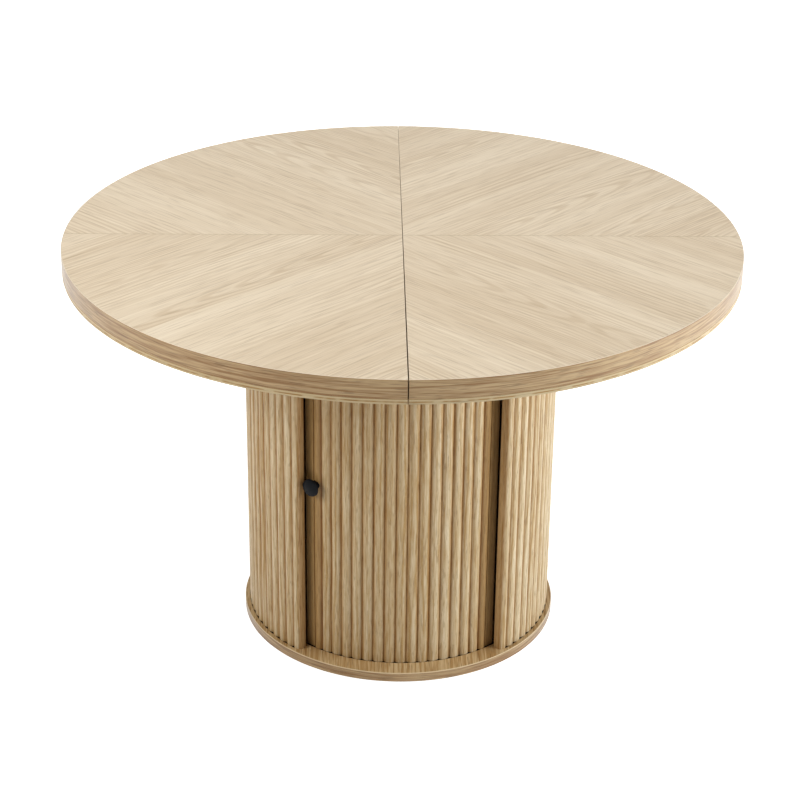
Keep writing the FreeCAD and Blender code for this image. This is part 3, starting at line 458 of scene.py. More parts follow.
def oak_group(name):
    """Oak figure in staves that differ by chance: broad streaks, growth rings, fibres and fine dark pores.

    The rings are even steps across the grain, bent by a slow noise. In a share of the staves they are even
    steps of the distance from points on a heart line, squeezed along the grain, and so make long arches. The
    shortness divides the length of the fibres, hairs and pores."""
    floats = [(part, "Float") for part in FIGURE_PARTS]
    group, source, result = new_group(
        name,
        [("Grain", "Vector"), ("Pale", "Color"), ("Deep", "Color"), ("Pore", "Color"), *floats],
        [("Color", "Color"), ("Roughness", "Float"), ("Height", "Float")],
    )
    grain = parts_of(group, source["Grain"])
    staves = reckon(group, "DIVIDE", grain[1], source["Stave width"])
    stave = reckon(group, "FLOOR", staves)
    chance = add_node(group, "ShaderNodeTexWhiteNoise", {"Vector": vector_of(group, stave, grain[2], 0.0)})
    luck = chance["Value"]
    lucks = parts_of(group, chance["Color"])
    along = times_plus(group, luck, STAVE_SLIP, grain[0])
    depth = times_plus(group, luck, STAVE_SLIP, grain[2])
    parts = (along, grain[1], depth)
    short = (times(group, along, source["Shortness"]), grain[1], depth)

    # Rings, straight or arched
    warp = grain_noise(group, parts, *WARP_NOISE)
    straight_turns = times_plus(group, grain[1], RINGS_PER_METRE, times(group, warp, RING_WARP))
    off_middle = reckon(group, "SUBTRACT", reckon(group, "FRACT", staves), 0.5)
    off_heart = reckon(group, "ADD", centred(group, lucks[1], HEART_SPREAD), off_middle)
    beside = times(group, off_heart, source["Stave width"])
    below = times(group, reckon(group, "PINGPONG", along, ARCH_SPAN), ARCH_SLOPE)
    heart_way = vector_of(group, beside, below, 0.0)
    from_heart = add_node(group, "ShaderNodeVectorMath", {0: heart_way}, operation="LENGTH")["Value"]
    arched_turns = times_plus(group, from_heart, ARCH_RINGS_PER_METRE, times(group, warp, ARCH_WARP))
    arched = reckon(group, "LESS_THAN", lucks[2], source["Arches"])
    ring_turns = add_node(group, "ShaderNodeMix", {0: arched, 2: straight_turns, 3: arched_turns})[0]
    ring_wave = reckon(group, "SINE", times(group, ring_turns, 2 * math.pi))
    ring_fade = ramp(group, grain_noise(group, parts, *RING_FADE_NOISE), *RING_FADE)
    ring = times(group, ramp(group, ring_wave, *RING_EDGE), ring_fade)

    # Tone from the streaks, the stave, the fibres, the hairs between them and the rings
    fibre = grain_noise(group, short, *FIBRE_NOISE)
    tone = MIDDLE_TONE
    for part in (
        centred(group, grain_noise(group, parts, *STREAK_NOISE), source["Streaks"]),
        centred(group, luck, STAVE_TONE),
        centred(group, fibre, source["Fibres"]),
        centred(group, grain_noise(group, short, *HAIR_NOISE), source["Fibres"]),
        times(group, ring, source["Rings"]),
    ):
        tone = reckon(group, "ADD", part, tone)
    tone = add_node(group, "ShaderNodeClamp", {0: tone})[0]
    wood = blend(group, tone, source["Pale"], source["Deep"])
    pore = times(group, ramp(group, grain_noise(group, short, *PORE_NOISE), *PORE_EDGE), source["Pores"])
    pits = reckon(group, "SUBTRACT", times(group, fibre, FIBRE_HEIGHT), pore)
    outputs = {
        "Color": blend(group, pore, wood, source["Pore"]),
        "Roughness": times_plus(group, fibre, FIBRE_ROUGHNESS, source["Least roughness"]),
        "Height": times_plus(group, ring, RING_HEIGHT, pits),
    }
    fill(group, result, outputs)
    return group


def pattern_group(name):
    """A noise at a number of grains for each metre, drawn out along X for lines: a mask and a height."""
    stretch, detail, roughness, low, high = PATTERNS[name]
    group, source, result = new_group(
        name,
        [("Place", "Vector"), ("Grains", "Float")],
        [("Mask", "Float"), ("Height", "Float")],
    )
    scale = {0: source["Place"], 3: source["Grains"]}
    scaled = add_node(group, "ShaderNodeVectorMath", scale, operation="SCALE")[0]
    drawn = add_node(group, "ShaderNodeVectorMath", {0: scaled, 1: stretch}, operation="MULTIPLY")[0]
    grain = noise(group, drawn, detail, roughness)
    fill(group, result, {"Mask": ramp(group, grain, low, high), "Height": grain})
    return group


# Finishes
Finish = namedtuple("Finish", "material tree shader grain wood")


def opaque(value):
    """A colour with full opacity."""
    return (*value, 1.0)


def darker(value, share):
    """A colour with full opacity, darkened by a share."""
    return opaque([part * (1 - share) for part in value])


def bare_material(name):
    """A new material, its tree and its Principled shader."""
    material = bpy.data.materials.new(name)
    material.use_nodes = True
    tree = material.node_tree
    return material, tree, tree.nodes["Principled BSDF"]


def bumped(tree, height, distance, strength):
    """The normal of a bump from a height."""
    inputs = {"Height": height, "Distance": distance, "Strength": strength}
    return add_node(tree, "ShaderNodeBump", inputs)[0]


def object_grain(tree, turn, slip):
    """Grain coordinates of a flat board from its own space, turned so that the grain runs along X."""
    inputs = {"Vector": own_place(tree), "Rotation": turn, "Location": slip}
    return add_node(tree, "ShaderNodeMapping", inputs, vector_type="TEXTURE")[0]


def attribute_grain(tree):
    """Grain coordinates that a piece carries on its faces."""
    return add_node(tree, "ShaderNodeAttribute", {}, attribute_name=GRAIN)["Vector"]


def oak_material(name, wood, figure, colours, grain):
    """Lacquered oak in the three tones of a wood, with a grain vector made by a function of the tree."""
    material, tree, shader = bare_material(name)
    vector = grain(tree)
    inputs = {"Grain": vector, **dict(zip(FIGURE_PARTS, FIGURES[figure]))}
    for tone in ("Pale", "Deep", "Pore"):
        inputs[tone] = opaque(getattr(colours, f"{wood}_{tone.lower()}"))
    oak = place_group(tree, "Oak figure", oak_group, inputs)
    finish = {
        "Base Color": oak["Color"],
        "Roughness": oak["Roughness"],
        "Specular IOR Level": SPECULARS[figure],
        "Normal": bumped(tree, oak["Height"], *OAK_BUMP),
    }
    fill(tree, shader, finish)
    return Finish(material, tree, shader, vector, oak["Color"])


def apply_stain_and_shade(oak, wood, mask, stain_and_shade_colour):
    """Multiplies the colour of an oak finish by a colour where a mask is 1: for stains and joint lines, and
    for painted shade in the valleys, on the ends and in the grooves.
    """
    mixed = blend(oak.tree, mask, wood, opaque(stain_and_shade_colour), "MULTIPLY")
    fill(oak.tree, oak.shader, {"Base Color": mixed})
    return mixed


def veneer_material(name, way, seed, colours):
    """Oak veneer of the top: grain along a diagonal of its quarter, and a faint line at the joint across."""
    turn = (0.0, 0.0, -way * math.pi / 4)
    slip = [seed * step for step in VENEER_SLIP]
    oak = oak_material(name, "veneer", "veneer", colours, lambda tree: object_grain(tree, turn, slip))
    from_joint = reckon(oak.tree, "ABSOLUTE", parts_of(oak.tree, own_place(oak.tree))[1])
    apply_stain_and_shade(oak, oak.wood, ramp(oak.tree, from_joint, *JOINT_LINE), colours.joint_line)
    return oak.material


def fluted_material(name, wood, colours):
    """Upright oak with painted shade: brown in the valleys and on the bare ends, and dark below the base
    plate's face, inside the grooves.
    """
    oak = oak_material(name, wood, "flute", colours, attribute_grain)
    shade = add_node(oak.tree, "ShaderNodeAttribute", {}, attribute_name=SHADE)["Fac"]
    # Painted shade: brown in the valleys and on the bare ends
    brown = apply_stain_and_shade(oak, oak.wood, ramp(oak.tree, shade, *VALLEY_SHADE), colours.valley_shade_and_strip_lines)
    # Painted shade on the parts of the walls that stand below the base plate's face, in its grooves
    height = parts_of(oak.tree, own_place(oak.tree))[2]
    sunk = ramp(oak.tree, height, BASE_HIGH.z, BASE_HIGH.z - GROOVE_SHADE_DEPTH)
    apply_stain_and_shade(oak, brown, sunk, colours.groove_painted_shade)
    return oak.material


def band_material(name, highlight_colour, highlight_height, colours):
    """Oak edge band: grain along the edge, a faint sheen, a pale painted highlight along its rounded top edge
    and a darker line under it.
    """
    oak = oak_material(name, "band", "band", colours, attribute_grain)
    drop = parts_of(oak.tree, oak.grain)[1]
    lined = apply_stain_and_shade(oak, oak.wood, ramp(oak.tree, drop, *RIM_LINE), colours.rim_line)
    # Painted highlight: the top of the band turned pale where its rounded edge would catch the light
    lip = ramp(oak.tree, drop, -highlight_height, -highlight_height * HIGHLIGHT_FULL_SHARE)
    edged = blend(oak.tree, lip, lined, opaque(highlight_colour))
    fill(oak.tree, oak.shader, {"Base Color": edged, "Sheen Weight": BAND_SHEEN})
    return oak.material


def strip_material(colours):
    """The pale strip under the rim, with a dark upper edge and a thin broken dark line along its middle."""
    oak = oak_material("Pale lower strip", "strip", "strip", colours, attribute_grain)
    parts = parts_of(oak.tree, oak.grain)
    off_line = reckon(oak.tree, "ABSOLUTE", reckon(oak.tree, "ADD", parts[1], STRIP_LINE_DROP))
    broken = ramp(oak.tree, grain_noise(oak.tree, parts, *STRIP_GAP_NOISE), *STRIP_GAPS)
    line = times(oak.tree, ramp(oak.tree, off_line, *STRIP_LINE), broken)
    edge = ramp(oak.tree, parts[1], *STRIP_EDGE)
    apply_stain_and_shade(oak, oak.wood, reckon(oak.tree, "MAXIMUM", line, edge), colours.valley_shade_and_strip_lines)
    return oak.material


def board_material(name, colours):
    """Oak-faced board with its grain along one axis."""
    turn, depth, figure = BOARDS[name]
    slip = (0.0, 0.0, depth)
    return oak_material(name, "board", figure, colours, lambda tree: object_grain(tree, turn, slip))


def plate_material(colours):
    """Oak-faced plate with its grain front to back, and painted shade darkening the grooves cut in its upper
    face.
    """
    oak = board_material("Oak plate, grain front to back", colours)
    height = parts_of(oak.tree, own_place(oak.tree))[2]
    # Painted shade inside the plate between its faces, where the grooves are cut
    below_face = ramp(oak.tree, height, BASE_HIGH.z, BASE_HIGH.z - GROOVE_SHADE_DEPTH)
    above_foot = ramp(oak.tree, height, BASE_LOW.z, BASE_LOW.z + GROOVE_SHADE_DEPTH)
    apply_stain_and_shade(oak, oak.wood, times(oak.tree, below_face, above_foot), colours.groove_painted_shade)
    return oak.material


def plain_material(name, colours):
    """A plain finish whose pattern shows in its colour, gloss and surface."""
    plain = PLAIN_FINISHES[name]
    material, tree, shader = bare_material(name)
    tint = getattr(colours, plain.colour)
    inputs = {"Place": own_place(tree), "Grains": plain.grains}
    pattern = place_group(tree, plain.pattern, pattern_group, inputs)
    finish = {
        "Base Color": blend(tree, pattern["Mask"], opaque(tint), darker(tint, plain.darkening)),
        "Roughness": times_plus(tree, pattern["Mask"], plain.rise, plain.roughness),
        "Specular IOR Level": plain.specular,
        "Metallic": plain.metallic,
        "Normal": bumped(tree, pattern["Height"], plain.bump, plain.strength),
    }
    fill(tree, shader, finish)
    return material


def cloth_material(colours):
    """Plain woven cloth: two sets of threads, upright and level, that pass over each other in turn."""
    material, tree, shader = bare_material("Backing cloth")
    parts = parts_of(tree, own_place(tree))
    level = reckon(tree, "SINE", times(tree, parts[0], THREAD_TURNS))
    upright = reckon(tree, "SINE", times(tree, parts[2], THREAD_TURNS))
    weave = times_plus(tree, times(tree, level, upright), 0.5, 0.5)
    finish = {
        "Base Color": blend(tree, weave, darker(colours.cloth, CLOTH_DARKENING), opaque(colours.cloth)),
        "Roughness": CLOTH_ROUGHNESS,
        "Normal": bumped(tree, weave, *CLOTH_BUMP),
    }
    fill(tree, shader, finish)
    return material


# Surfaces
def carried_section(bearings, radii, heights, closed):
    """A closed section carried round the upright axis: x = r sin b, y = -r cos b, z = h, for each bearing b.

    The rows of radii and heights hold the section's corners at each bearing, counterclockwise with the radius
    to the right. An open run is closed by its first and last section."""
    steps, corners = radii.shape
    turn = bearings[:, None]
    points = np.stack([radii * np.sin(turn), -radii * np.cos(turn), heights], axis=-1).reshape(-1, 3)
    spans = steps if closed else steps - 1
    step, corner = np.meshgrid(np.arange(spans), np.arange(corners), indexing="ij")
    near = step * corners
    far = (step + 1) % steps * corners
    following = (corner + 1) % corners
    quads = np.stack([near + corner, far + corner, far + following, near + following], axis=-1).reshape(-1, 4)
    rows = np.stack([step, step + 1, step + 1, step], axis=-1).reshape(-1, 4)
    columns = np.stack([corner, corner, corner + 1, corner + 1], axis=-1).reshape(-1, 4)
    faces = quads.tolist()
    if not closed:
        faces.append(list(range(corners)))
        faces.append([(steps - 1) * corners + place for place in reversed(range(corners))])
    return points, faces, rows, columns


def add_piece(node, points, faces, material, body):
    """Makes an object from points and faces, smooth but for sharp edges, in place of a node of the frame."""
    mesh = bpy.data.meshes.new(node + "_surface")
    mesh.from_pydata(points.tolist(), [], faces)
    mesh.shade_smooth()
    mesh.set_sharp_from_angle(angle=SHARP_ANGLE)
    mesh.materials.append(material)
    piece = bpy.data.objects.new(node + "_surface", mesh)
    bpy.context.scene.collection.objects.link(piece)
    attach(piece, body)
    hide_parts(node)
    return piece


def carry_grain(piece, values):
    """Stores grain coordinates on the corners of a piece's faces."""
    attribute = piece.data.attributes.new(GRAIN, "FLOAT_VECTOR", "CORNER")
    attribute.data.foreach_set("vector", values.astype(np.float32).ravel())


def carry_shade(piece, values):
    """Stores on the corners of a piece's faces how shaded they lie, from 0 on a crest to 1 in a valley."""
    attribute = piece.data.attributes.new(SHADE, "FLOAT", "CORNER")
    attribute.data.foreach_set("value", values.astype(np.float32).ravel())


def band_section(inner, outer, bottom, top, rounding):
    """The section of a band: a rectangle with quarter circles for its outer corners and a flat by each."""
    sweep = np.linspace(0, math.pi / 2, ROUNDING_POINTS)
    flat = rounding * ROUNDING_FLAT
    low = [(outer - rounding + rounding * np.sin(s), bottom + rounding - rounding * np.cos(s)) for s in sweep]
    high = [(outer - rounding + rounding * np.cos(s), top - rounding + rounding * np.sin(s)) for s in sweep]
    supports = [(outer, bottom + rounding + flat), (outer, top - rounding - flat)]
    return np.array([(inner, bottom), *low, *supports, *high, (inner, top)])


def band_piece(node, bearings, low, high, outer, sizes, closed, material, depth):
    """A band: its section carried along the edge, with the grain along the edge and measured from the top."""
    section = band_section(outer - sizes.band_thickness, outer, low, high, sizes.band_rounding)
    steps = len(bearings)
    radii = np.tile(section[:, 0], (steps, 1))
    heights = np.tile(section[:, 1], (steps, 1))
    points, faces, rows, columns = carried_section(bearings, radii, heights, closed)
    stride = bearings[1] - bearings[0]
    drop = np.append(section[:, 1], section[0, 1]) - high
    run = (bearings[0] + rows * stride) * outer
    grain = np.stack([run, drop[columns], np.full(rows.shape, depth)], axis=-1).reshape(-1, 3)
    if not closed:
        end = np.stack([section[:, 0], section[:, 1] - high, np.full(len(section), depth)], axis=-1)
        grain = np.concatenate([grain, end, end[::-1]])
    piece = add_piece(node, points, faces, material, CABINET)
    carry_grain(piece, grain)


def upright_piece(node, bearings, outer, inner, low, high, valley, material, body):
    """A piece of the drum: an upright section between two radii, carried over its bearings.

    Its grain is upright and goes on unbroken round the drum."""
    steps = len(bearings)
    depth = UPRIGHT_DEPTHS[body]
    radii = np.stack([np.full(steps, inner), outer, outer, np.full(steps, inner)], axis=-1)
    corners = radii.shape[1]
    heights = np.stack([np.broadcast_to(level, steps) for level in (low, low, high, high)], axis=-1)
    points, faces, rows, columns = carried_section(bearings, radii, heights, False)
    place = np.stack([outer * np.sin(bearings), -outer * np.cos(bearings)], axis=-1)
    stride = np.linalg.norm(np.diff(place, axis=0), axis=-1)
    run = bearings[0] * outer.max() + np.append(0.0, np.cumsum(stride))
    levels = np.append(heights, heights[:, :1], axis=1)
    grain = np.stack([levels[rows, columns], run[rows], np.full(rows.shape, depth)], axis=-1)
    first, last = [
        np.stack([heights[step], run[step] + radii[step], np.full(corners, depth)], axis=-1)
        for step in (0, -1)
    ]
    piece = add_piece(node, points, faces, material, body)
    carry_grain(piece, np.concatenate([grain.reshape(-1, 3), first, last[::-1]]))
    shade = np.where(np.isin(columns, OUTER_CORNERS), valley[rows], 0.0).ravel()
    carry_shade(piece, np.append(shade, np.full(2 * corners, END_SHADE)))


def flutes(starts, crests, ends, start_radii, crest_radii, end_radii):
    """Rows of bearings and radii along circles, each through a start, a crest and an end.

    All three are given by bearing and radius. The circle's middle is where the perpendiculars on the middles
    of the two chords meet."""
    bearings = np.stack([starts, crests, ends])
    radii = np.stack([start_radii, crest_radii, end_radii])
    x = radii * np.sin(bearings)
    y = -radii * np.cos(bearings)
    square = x ** 2 + y ** 2
    rise = y[[1, 2, 0]] - y[[2, 0, 1]]
    step = x[[2, 0, 1]] - x[[1, 2, 0]]
    twice_area = 2 * (x * rise).sum(axis=0)
    middle_x = (square * rise).sum(axis=0) / twice_area
    middle_y = (square * step).sum(axis=0) / twice_area
    radius = np.hypot(x[0] - middle_x, y[0] - middle_y)
    first = np.arctan2(y[0] - middle_y, x[0] - middle_x)
    last = np.arctan2(y[2] - middle_y, x[2] - middle_x)
    sweep = (last - first + math.pi) % (2 * math.pi) - math.pi
    turn = first[:, None] + sweep[:, None] * np.linspace(0, 1, FLUTE_POINTS)
    on_x = middle_x[:, None] + radius[:, None] * np.cos(turn)
    on_y = middle_y[:, None] + radius[:, None] * np.sin(turn)
    return np.arctan2(on_x, -on_y), np.hypot(on_x, on_y)


def wall_outline(sizes):
    """Bearings and radii of the right wall's face: a narrower end flute, then whole flutes to the back."""
    front = sizes.opening / 2
    back = math.pi - sizes.rear_joint / 2 / sizes.wall_radius
    pitch = (back - front) / (sizes.wall_flutes + sizes.end_flute_share)
    first_valley = front + sizes.end_flute_share * pitch
    valleys = np.append(front, first_valley + pitch * np.arange(sizes.wall_flutes + 1))
    crests = (valleys[:-1] + valleys[1:]) / 2
    crests[0] = front + sizes.end_crest_share * sizes.end_flute_share * pitch
    depths = np.full(len(valleys), sizes.wall_radius - sizes.wall_flute_depth)
    depths[0] = sizes.wall_radius - sizes.end_corner_drop
    tops = np.full(len(crests), sizes.wall_radius)
    rows = flutes(valleys[:-1], crests, valleys[1:], depths[:-1], tops, depths[1:])
    return [np.append(row[:, :-1].ravel(), row[-1, -1]) for row in rows]


def slat_edges(sizes):
    """Bearings of the joints of the slats: even steps, with a shorter one at each end."""
    edge = sizes.opening / 2 - sizes.stile_show
    steps = np.ones(sizes.slats)
    steps[[0, -1]] = sizes.end_slat_share
    return edge * (2 * np.append(0.0, np.cumsum(steps)) / steps.sum() - 1)


def knob_outline(sizes):
    """Reaches and heights of the knob's outline: stem, flare, round under edge, shoulder and dome.

    The under edge, the shoulder and the dome are arcs that touch each other without a corner."""
    height = sizes.knob_seat + sizes.knob_projection
    rim = sizes.knob_head_radius
    under_head = height - sizes.knob_head_thickness
    dome_middle = height - sizes.knob_dome_radius
    shoulder_reach = rim - sizes.knob_shoulder_radius
    shoulder_gap = sizes.knob_dome_radius - sizes.knob_shoulder_radius
    shoulder_height = dome_middle + math.sqrt(shoulder_gap ** 2 - shoulder_reach ** 2)
    tilt = math.asin(shoulder_reach / shoulder_gap)
    under = shoulder_height - under_head
    stem = np.array([(sizes.knob_stem_radius, 0.0), (sizes.knob_stem_radius, under_head - sizes.knob_flare)])
    below = np.linspace(math.pi, math.pi / 2, ARC_POINTS)
    beside = np.linspace(math.pi / 2, tilt, ARC_POINTS)[1:]
    above = np.linspace(tilt, tilt / ARC_POINTS, ARC_POINTS)[1:]
    arcs = [
        (rim - under, shoulder_height, under, below),
        (shoulder_reach, shoulder_height, sizes.knob_shoulder_radius, beside),
        (0.0, dome_middle, sizes.knob_dome_radius, above),
    ]
    bows = [np.stack([x + r * np.sin(turn), y + r * np.cos(turn)], axis=-1) for x, y, r, turn in arcs]
    return np.concatenate([stem, *bows])


def turned_piece(outline, origin, axis, side, up):
    """An outline turned about an axis: origin + height along the axis + reach along each spoke."""
    rows = len(outline)
    turn = np.linspace(0, 2 * math.pi, TURN_STEPS, endpoint=False)
    spoke = np.cos(turn)[:, None] * side + np.sin(turn)[:, None] * up
    points = origin + outline[:, 1, None, None] * axis + outline[:, 0, None, None] * spoke
    row, place = np.meshgrid(np.arange(rows - 1), np.arange(TURN_STEPS), indexing="ij")
    following = (place + 1) % TURN_STEPS
    near = row * TURN_STEPS
    far = near + TURN_STEPS
    quads = np.stack([near + place, near + following, far + following, far + place], axis=-1).reshape(-1, 4)
    around = np.arange(TURN_STEPS)
    caps = [around[::-1].tolist(), ((rows - 1) * TURN_STEPS + around).tolist()]
    return points.reshape(-1, 3), quads.tolist() + caps


def finish_nodes(nodes, material):
    """Puts a finish on pieces of the frame."""
    for node in nodes:
        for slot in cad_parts[node].material_slots:
            slot.material = material


# Stage
def seen_by_camera(tree):
    """1 for rays from the camera, and for their reflections and refractions."""
    path = add_node(tree, "ShaderNodeLightPath", {})
    seen = reckon(tree, "MAXIMUM", path["Is Camera Ray"], path["Is Glossy Ray"])
    return reckon(tree, "MAXIMUM", seen, path["Is Transmission Ray"])


def add_floor(scene, settings, colours):
    """A flat round floor: one ring of points about the origin, closed by one face."""
    turn = np.linspace(0, 2 * math.pi, TURN_STEPS, endpoint=False)
    ring = np.stack([np.cos(turn), np.sin(turn), np.zeros(TURN_STEPS)], axis=-1) * settings.floor_size
    mesh = bpy.data.meshes.new("Floor")
    mesh.from_pydata(ring.tolist(), [], [list(range(TURN_STEPS))])
    floor = bpy.data.objects.new("Floor", mesh)
    scene.collection.objects.link(floor)
    material, tree, shader = bare_material("Pale floor")
    inputs = {"Place": own_place(tree), "Grains": FLOOR_GRAINS}
    speckle = place_group(tree, "Fine speckle", pattern_group, inputs)
    tint = darker(colours.floor, FLOOR_DARKENING)
    finish = {
        "Base Color": blend(tree, speckle["Mask"], opaque(colours.floor), tint),
        "Roughness": FLOOR_ROUGHNESS,
        "Specular IOR Level": FLOOR_SPECULAR,
        "Emission Color": WHITE,
        "Emission Strength": times(tree, seen_by_camera(tree), settings.floor_glow),
    }
    fill(tree, shader, finish)
    mesh.materials.append(material)


def light_world(scene, settings):
    """Even light from all round, and a white background for the camera."""
    world = bpy.data.worlds.new("Studio")
    world.use_nodes = True
    tree = world.node_tree
    strength = reckon(tree, "MAXIMUM", seen_by_camera(tree), settings.ambient)
    fill(tree, tree.nodes["Background"], {"Color": WHITE, "Strength": strength})
    scene.world = world


def add_softbox(scene, name, place, size, tint, power):
    """A large square light that faces the middle of the table and leaves no glare on its lacquer."""
    lamp = bpy.data.lights.new(name, "AREA")
    lamp.shape = "SQUARE"
    lamp.size = size
    lamp.energy = power
    lamp.color = tint
    light = bpy.data.objects.new(name, lamp)
    light.location = place
    light.rotation_euler = (LIGHT_TARGET - Vector(place)).to_track_quat("-Z", "Y").to_euler()
    light.visible_glossy = False
    scene.collection.objects.link(light)


def add_camera(scene, settings):
    """The camera: a point on a sphere about the target, turned a little about its line of sight."""
    level = math.cos(settings.camera_pitch)
    across = math.sin(settings.camera_azimuth) * level
    ahead = -math.cos(settings.camera_azimuth) * level
    way = Vector((across, ahead, math.sin(settings.camera_pitch)))
    lens = bpy.data.cameras.new("Camera")
    lens.lens = settings.camera_lens
    lens.sensor_width = SENSOR_WIDTH
    lens.shift_x = settings.camera_shift_x
    lens.shift_y = settings.camera_shift_y
    lens.clip_end = VIEW_DEPTH * settings.floor_size
    camera = bpy.data.objects.new("Camera", lens)
    camera.location = Vector((0.0, 0.0, settings.target_height)) + way * settings.camera_distance
    aim = (-way).to_track_quat("-Z", "Y") @ Quaternion((0.0, 0.0, 1.0), settings.camera_roll)
    camera.rotation_euler = aim.to_euler()
    scene.collection.objects.link(camera)
    scene.camera = camera


# Operators
class ROUND_TABLE_OT_veneers(bpy.types.Operator):
    """Finishes the four quarters of the top with oak veneer"""

    bl_idname = "round_table.veneers"
    bl_label = "Veneers"

    def execute(self, context):
        colours = context.scene.table_colours
        for seed, (node, way) in enumerate(VENEERS.items()):
            finish_nodes([node], veneer_material("Oak " + node.replace("_", " "), way, seed, colours))
        return {"FINISHED"}


class ROUND_TABLE_OT_edge_bands(bpy.types.Operator):
    """Makes the bands round the top, the lower boards, the base plate and the cap plate"""

    bl_idname = "round_table.edge_bands"
    bl_label = "Edge bands"

    def execute(self, context):
        sizes = context.scene.table_sizes
        colours = context.scene.table_colours
        # The pale top edges of the rim and plate bands are painted highlights
        band = band_material("Oak rim band", colours.veneer_pale, RIM_HIGHLIGHT_HEIGHT, colours)
        plate_band = band_material("Oak plate band", colours.plate_edge_highlight, PLATE_HIGHLIGHT_HEIGHT, colours)
        outer = sizes.top_radius
        front = math.asin(sizes.seam_front / 2 / outer)
        back = math.asin(sizes.seam_back / 2 / outer)
        half = np.linspace(front, math.pi - back, RIM_STEPS)
        rims = (
            ("top_edge_band", TOP_LOW.z, TOP_HIGH.z, band, "oak_edge"),
            ("lower_edge_band", STRIP_LOW.z, STRIP_HIGH.z, strip_material(colours), "pale_edge"),
        )
        for depth, (node, low, high, material, slot) in enumerate(rims):
            for side, bearings in (("left", -half[::-1]), ("right", half)):
                band_piece(f"{node}_{side}", bearings, low, high, outer, sizes, False, material, depth)
        ring = np.linspace(-math.pi, math.pi, RIM_STEPS, endpoint=False)
        plates = (("base_edge_band", BASE_LOW.z, BASE_HIGH.z), ("cap_edge_band", CAP_LOW.z, CAP_HIGH.z))
        for depth, (node, low, high) in enumerate(plates, len(rims)):
            band_piece(node, ring, low, high, sizes.plate_radius, sizes, True, plate_band, depth)
        return {"FINISHED"}


class ROUND_TABLE_OT_walls(bpy.types.Operator):
    """Makes the two fluted walls of the drum"""

    bl_idname = "round_table.walls"
    bl_label = "Fluted walls"

    def execute(self, context):
        sizes = context.scene.table_sizes
        material = fluted_material("Fluted oak", "flute", context.scene.table_colours)
        bearings, radii = wall_outline(sizes)
        # How deep in painted shade each point of the walls lies: 1 in a valley, and no more than the end
        # shade on the nose
        valley = (sizes.wall_radius - radii) / sizes.wall_flute_depth
        nose = FLUTE_POINTS // 2
        valley[:nose] = np.minimum(valley[:nose], END_SHADE)
        inner = sizes.wall_radius - sizes.wall_thickness
        shoulder_end = sizes.opening / 2 + sizes.wall_shoulder / sizes.wall_radius
        raised = np.arange(len(bearings)) <= np.searchsorted(bearings, shoulder_end)
        low = np.where(raised, BASE_HIGH.z, WALL_LOW.z)
        high = np.where(raised, CAP_LOW.z, WALL_HIGH.z)
        right = (bearings, radii, low, high, valley)
        left = [column[::-1] for column in (-bearings, radii, low, high, valley)]
        for node, (turn, outer, foot, head, shade) in (("right_wall", right), ("left_wall", left)):
            upright_piece(node, turn, outer, inner, foot, head, shade, material, CABINET)
        return {"FINISHED"}


class ROUND_TABLE_OT_slats(bpy.types.Operator):
    """Makes the slats of the sliding door, with a darker oak on its two end slats as painted shade from the
    walls
    """

    bl_idname = "round_table.slats"
    bl_label = "Door slats"

    def execute(self, context):
        sizes = context.scene.table_sizes
        # A darker copy of the fluted oak: painted shade that the walls cast on the end slats and the stiles
        dark = fluted_material("Dark oak", "stile", context.scene.table_colours)
        pale = bpy.data.materials["Fluted oak"]
        joint = sizes.slat_joint / 2 / sizes.door_radius
        edges = slat_edges(sizes)
        starts = edges[:-1] + joint
        ends = edges[1:] - joint
        valleys = np.full(sizes.slats, sizes.door_radius - sizes.slat_flute_depth)
        tops = np.full(sizes.slats, sizes.door_radius)
        bearings, radii = flutes(starts, (starts + ends) / 2, ends, valleys, tops, valleys)
        inner = sizes.door_radius - sizes.slat_thickness
        for slat, (turn, outer) in enumerate(zip(bearings, radii)):
            valley = (sizes.door_radius - outer) / sizes.slat_flute_depth
            node = f"door_slat_{slat + 1:02d}"
            material = dark if slat in (0, sizes.slats - 1) else pale
            upright_piece(node, turn, outer, inner, SLAT_LOW.z, SLAT_HIGH.z, valley, material, DOOR)
        return {"FINISHED"}


class ROUND_TABLE_OT_stiles(bpy.types.Operator):
    """Makes the smooth stiles at the ends of the door, in the darker oak that paints the walls' shade on them
    """

    bl_idname = "round_table.stiles"
    bl_label = "Door stiles"

    def execute(self, context):
        sizes = context.scene.table_sizes
        material = bpy.data.materials["Dark oak"]
        near = sizes.opening / 2 - sizes.stile_show + sizes.slat_joint / 2 / sizes.door_radius
        far = sizes.opening / 2 + sizes.door_overlap
        bearings = np.linspace(near, far, FLUTE_POINTS)
        outer = np.full(FLUTE_POINTS, sizes.door_radius - sizes.stile_setback)
        inner = sizes.door_radius - sizes.slat_thickness
        valley = np.zeros(FLUTE_POINTS)
        for node, turn in (("door_left_stile", -bearings[::-1]), ("door_right_stile", bearings)):
            upright_piece(node, turn, outer, inner, SLAT_LOW.z, SLAT_HIGH.z, valley, material, DOOR)
        return {"FINISHED"}


class ROUND_TABLE_OT_knob(bpy.types.Operator):
    """Makes the turned knob on the first slat"""

    bl_idname = "round_table.knob"
    bl_label = "Knob"

    def execute(self, context):
        sizes = context.scene.table_sizes
        left, right = slat_edges(sizes)[:2]
        bearing = left + sizes.knob_place * (right - left)
        axis = np.array((math.sin(bearing), -math.cos(bearing), 0.0))
        side = np.array((math.cos(bearing), math.sin(bearing), 0.0))
        up = np.array((0.0, 0.0, 1.0))
        origin = axis * (sizes.door_radius - sizes.knob_seat) + up * (KNOB_LOW.z + KNOB_HIGH.z) / 2
        points, faces = turned_piece(knob_outline(sizes), origin, axis, side, up)
        material = plain_material("Matt black paint", context.scene.table_colours)
        add_piece("door_knob", points, faces, material, DOOR)
        return {"FINISHED"}


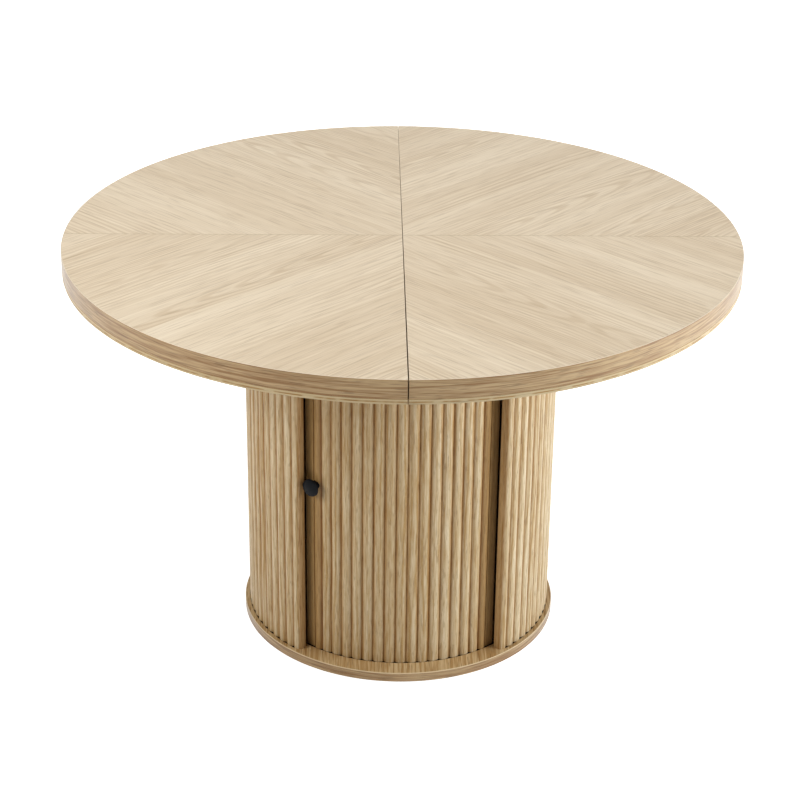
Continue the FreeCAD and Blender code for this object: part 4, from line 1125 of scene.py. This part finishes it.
class ROUND_TABLE_OT_boards(bpy.types.Operator):
    """Finishes the plates, the boards of the carcass, the pressed boards and the dowels"""

    bl_idname = "round_table.boards"
    bl_label = "Boards"

    def execute(self, context):
        colours = context.scene.table_colours
        finish_nodes(PLATES, plate_material(colours))
        finish_nodes(STANDING_BOARDS, board_material("Oak board, upright grain", colours).material)
        finish_nodes(["shelf"], board_material("Oak board, grain across", colours).material)
        finish_nodes(PRESSED_BOARDS, plain_material("Pressed board", colours))
        finish_nodes(DOWELS, plain_material("Beech", colours))
        return {"FINISHED"}


class ROUND_TABLE_OT_fittings(bpy.types.Operator):
    """Finishes the steel and brass fittings, the glides and the cloth behind the slats"""

    bl_idname = "round_table.fittings"
    bl_label = "Fittings"

    def execute(self, context):
        colours = context.scene.table_colours
        finish_nodes(STEEL_FITTINGS, plain_material("Zinc plated steel", colours))
        finish_nodes(["threaded_inserts"], plain_material("Brass", colours))
        finish_nodes(["foot_glides"], plain_material("Nylon", colours))
        finish_nodes(["door_backing"], cloth_material(colours))
        return {"FINISHED"}


class ROUND_TABLE_OT_stage(bpy.types.Operator):
    """Sets up the floor, the lights and the camera"""

    bl_idname = "round_table.stage"
    bl_label = "Stage"

    def execute(self, context):
        scene = context.scene
        settings = scene.table_stage
        scene.view_settings.view_transform = "Standard"
        add_floor(scene, settings, scene.table_colours)
        light_world(scene, settings)
        for name, place, size, tint in LIGHTS:
            add_softbox(scene, name, place, size, tint, getattr(settings, name))
        add_camera(scene, settings)
        return {"FINISHED"}


class ROUND_TABLE_PT_panel(bpy.types.Panel):
    """Lists the steps that dress the table"""

    bl_idname = "ROUND_TABLE_PT_panel"
    bl_label = "Round table"
    bl_space_type = "VIEW_3D"
    bl_region_type = "UI"
    bl_category = "Round table"

    def draw(self, context):
        for operator in OPERATORS:
            self.layout.operator(operator.bl_idname)


GROUPS = (TableSizes, TableColours, StageSettings)
OPERATORS = (
    ROUND_TABLE_OT_veneers,
    ROUND_TABLE_OT_edge_bands,
    ROUND_TABLE_OT_walls,
    ROUND_TABLE_OT_slats,
    ROUND_TABLE_OT_stiles,
    ROUND_TABLE_OT_knob,
    ROUND_TABLE_OT_boards,
    ROUND_TABLE_OT_fittings,
    ROUND_TABLE_OT_stage,
)


def register():
    """Registers the classes and puts the properties on the scene."""
    for group in (*GROUPS, *OPERATORS, ROUND_TABLE_PT_panel):
        bpy.utils.register_class(group)
    bpy.types.Scene.table_sizes = bpy.props.PointerProperty(type=TableSizes)
    bpy.types.Scene.table_colours = bpy.props.PointerProperty(type=TableColours)
    bpy.types.Scene.table_stage = bpy.props.PointerProperty(type=StageSettings)


def unregister():
    """Takes the properties off the scene and unregisters the classes."""
    del bpy.types.Scene.table_stage
    del bpy.types.Scene.table_colours
    del bpy.types.Scene.table_sizes
    for group in reversed((*GROUPS, *OPERATORS, ROUND_TABLE_PT_panel)):
        bpy.utils.unregister_class(group)


def main():
    """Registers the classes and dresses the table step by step."""
    register()
    for operator in OPERATORS:
        module, name = operator.bl_idname.split(".")
        getattr(getattr(bpy.ops, module), name)()


if __name__ == "__main__":
    main()
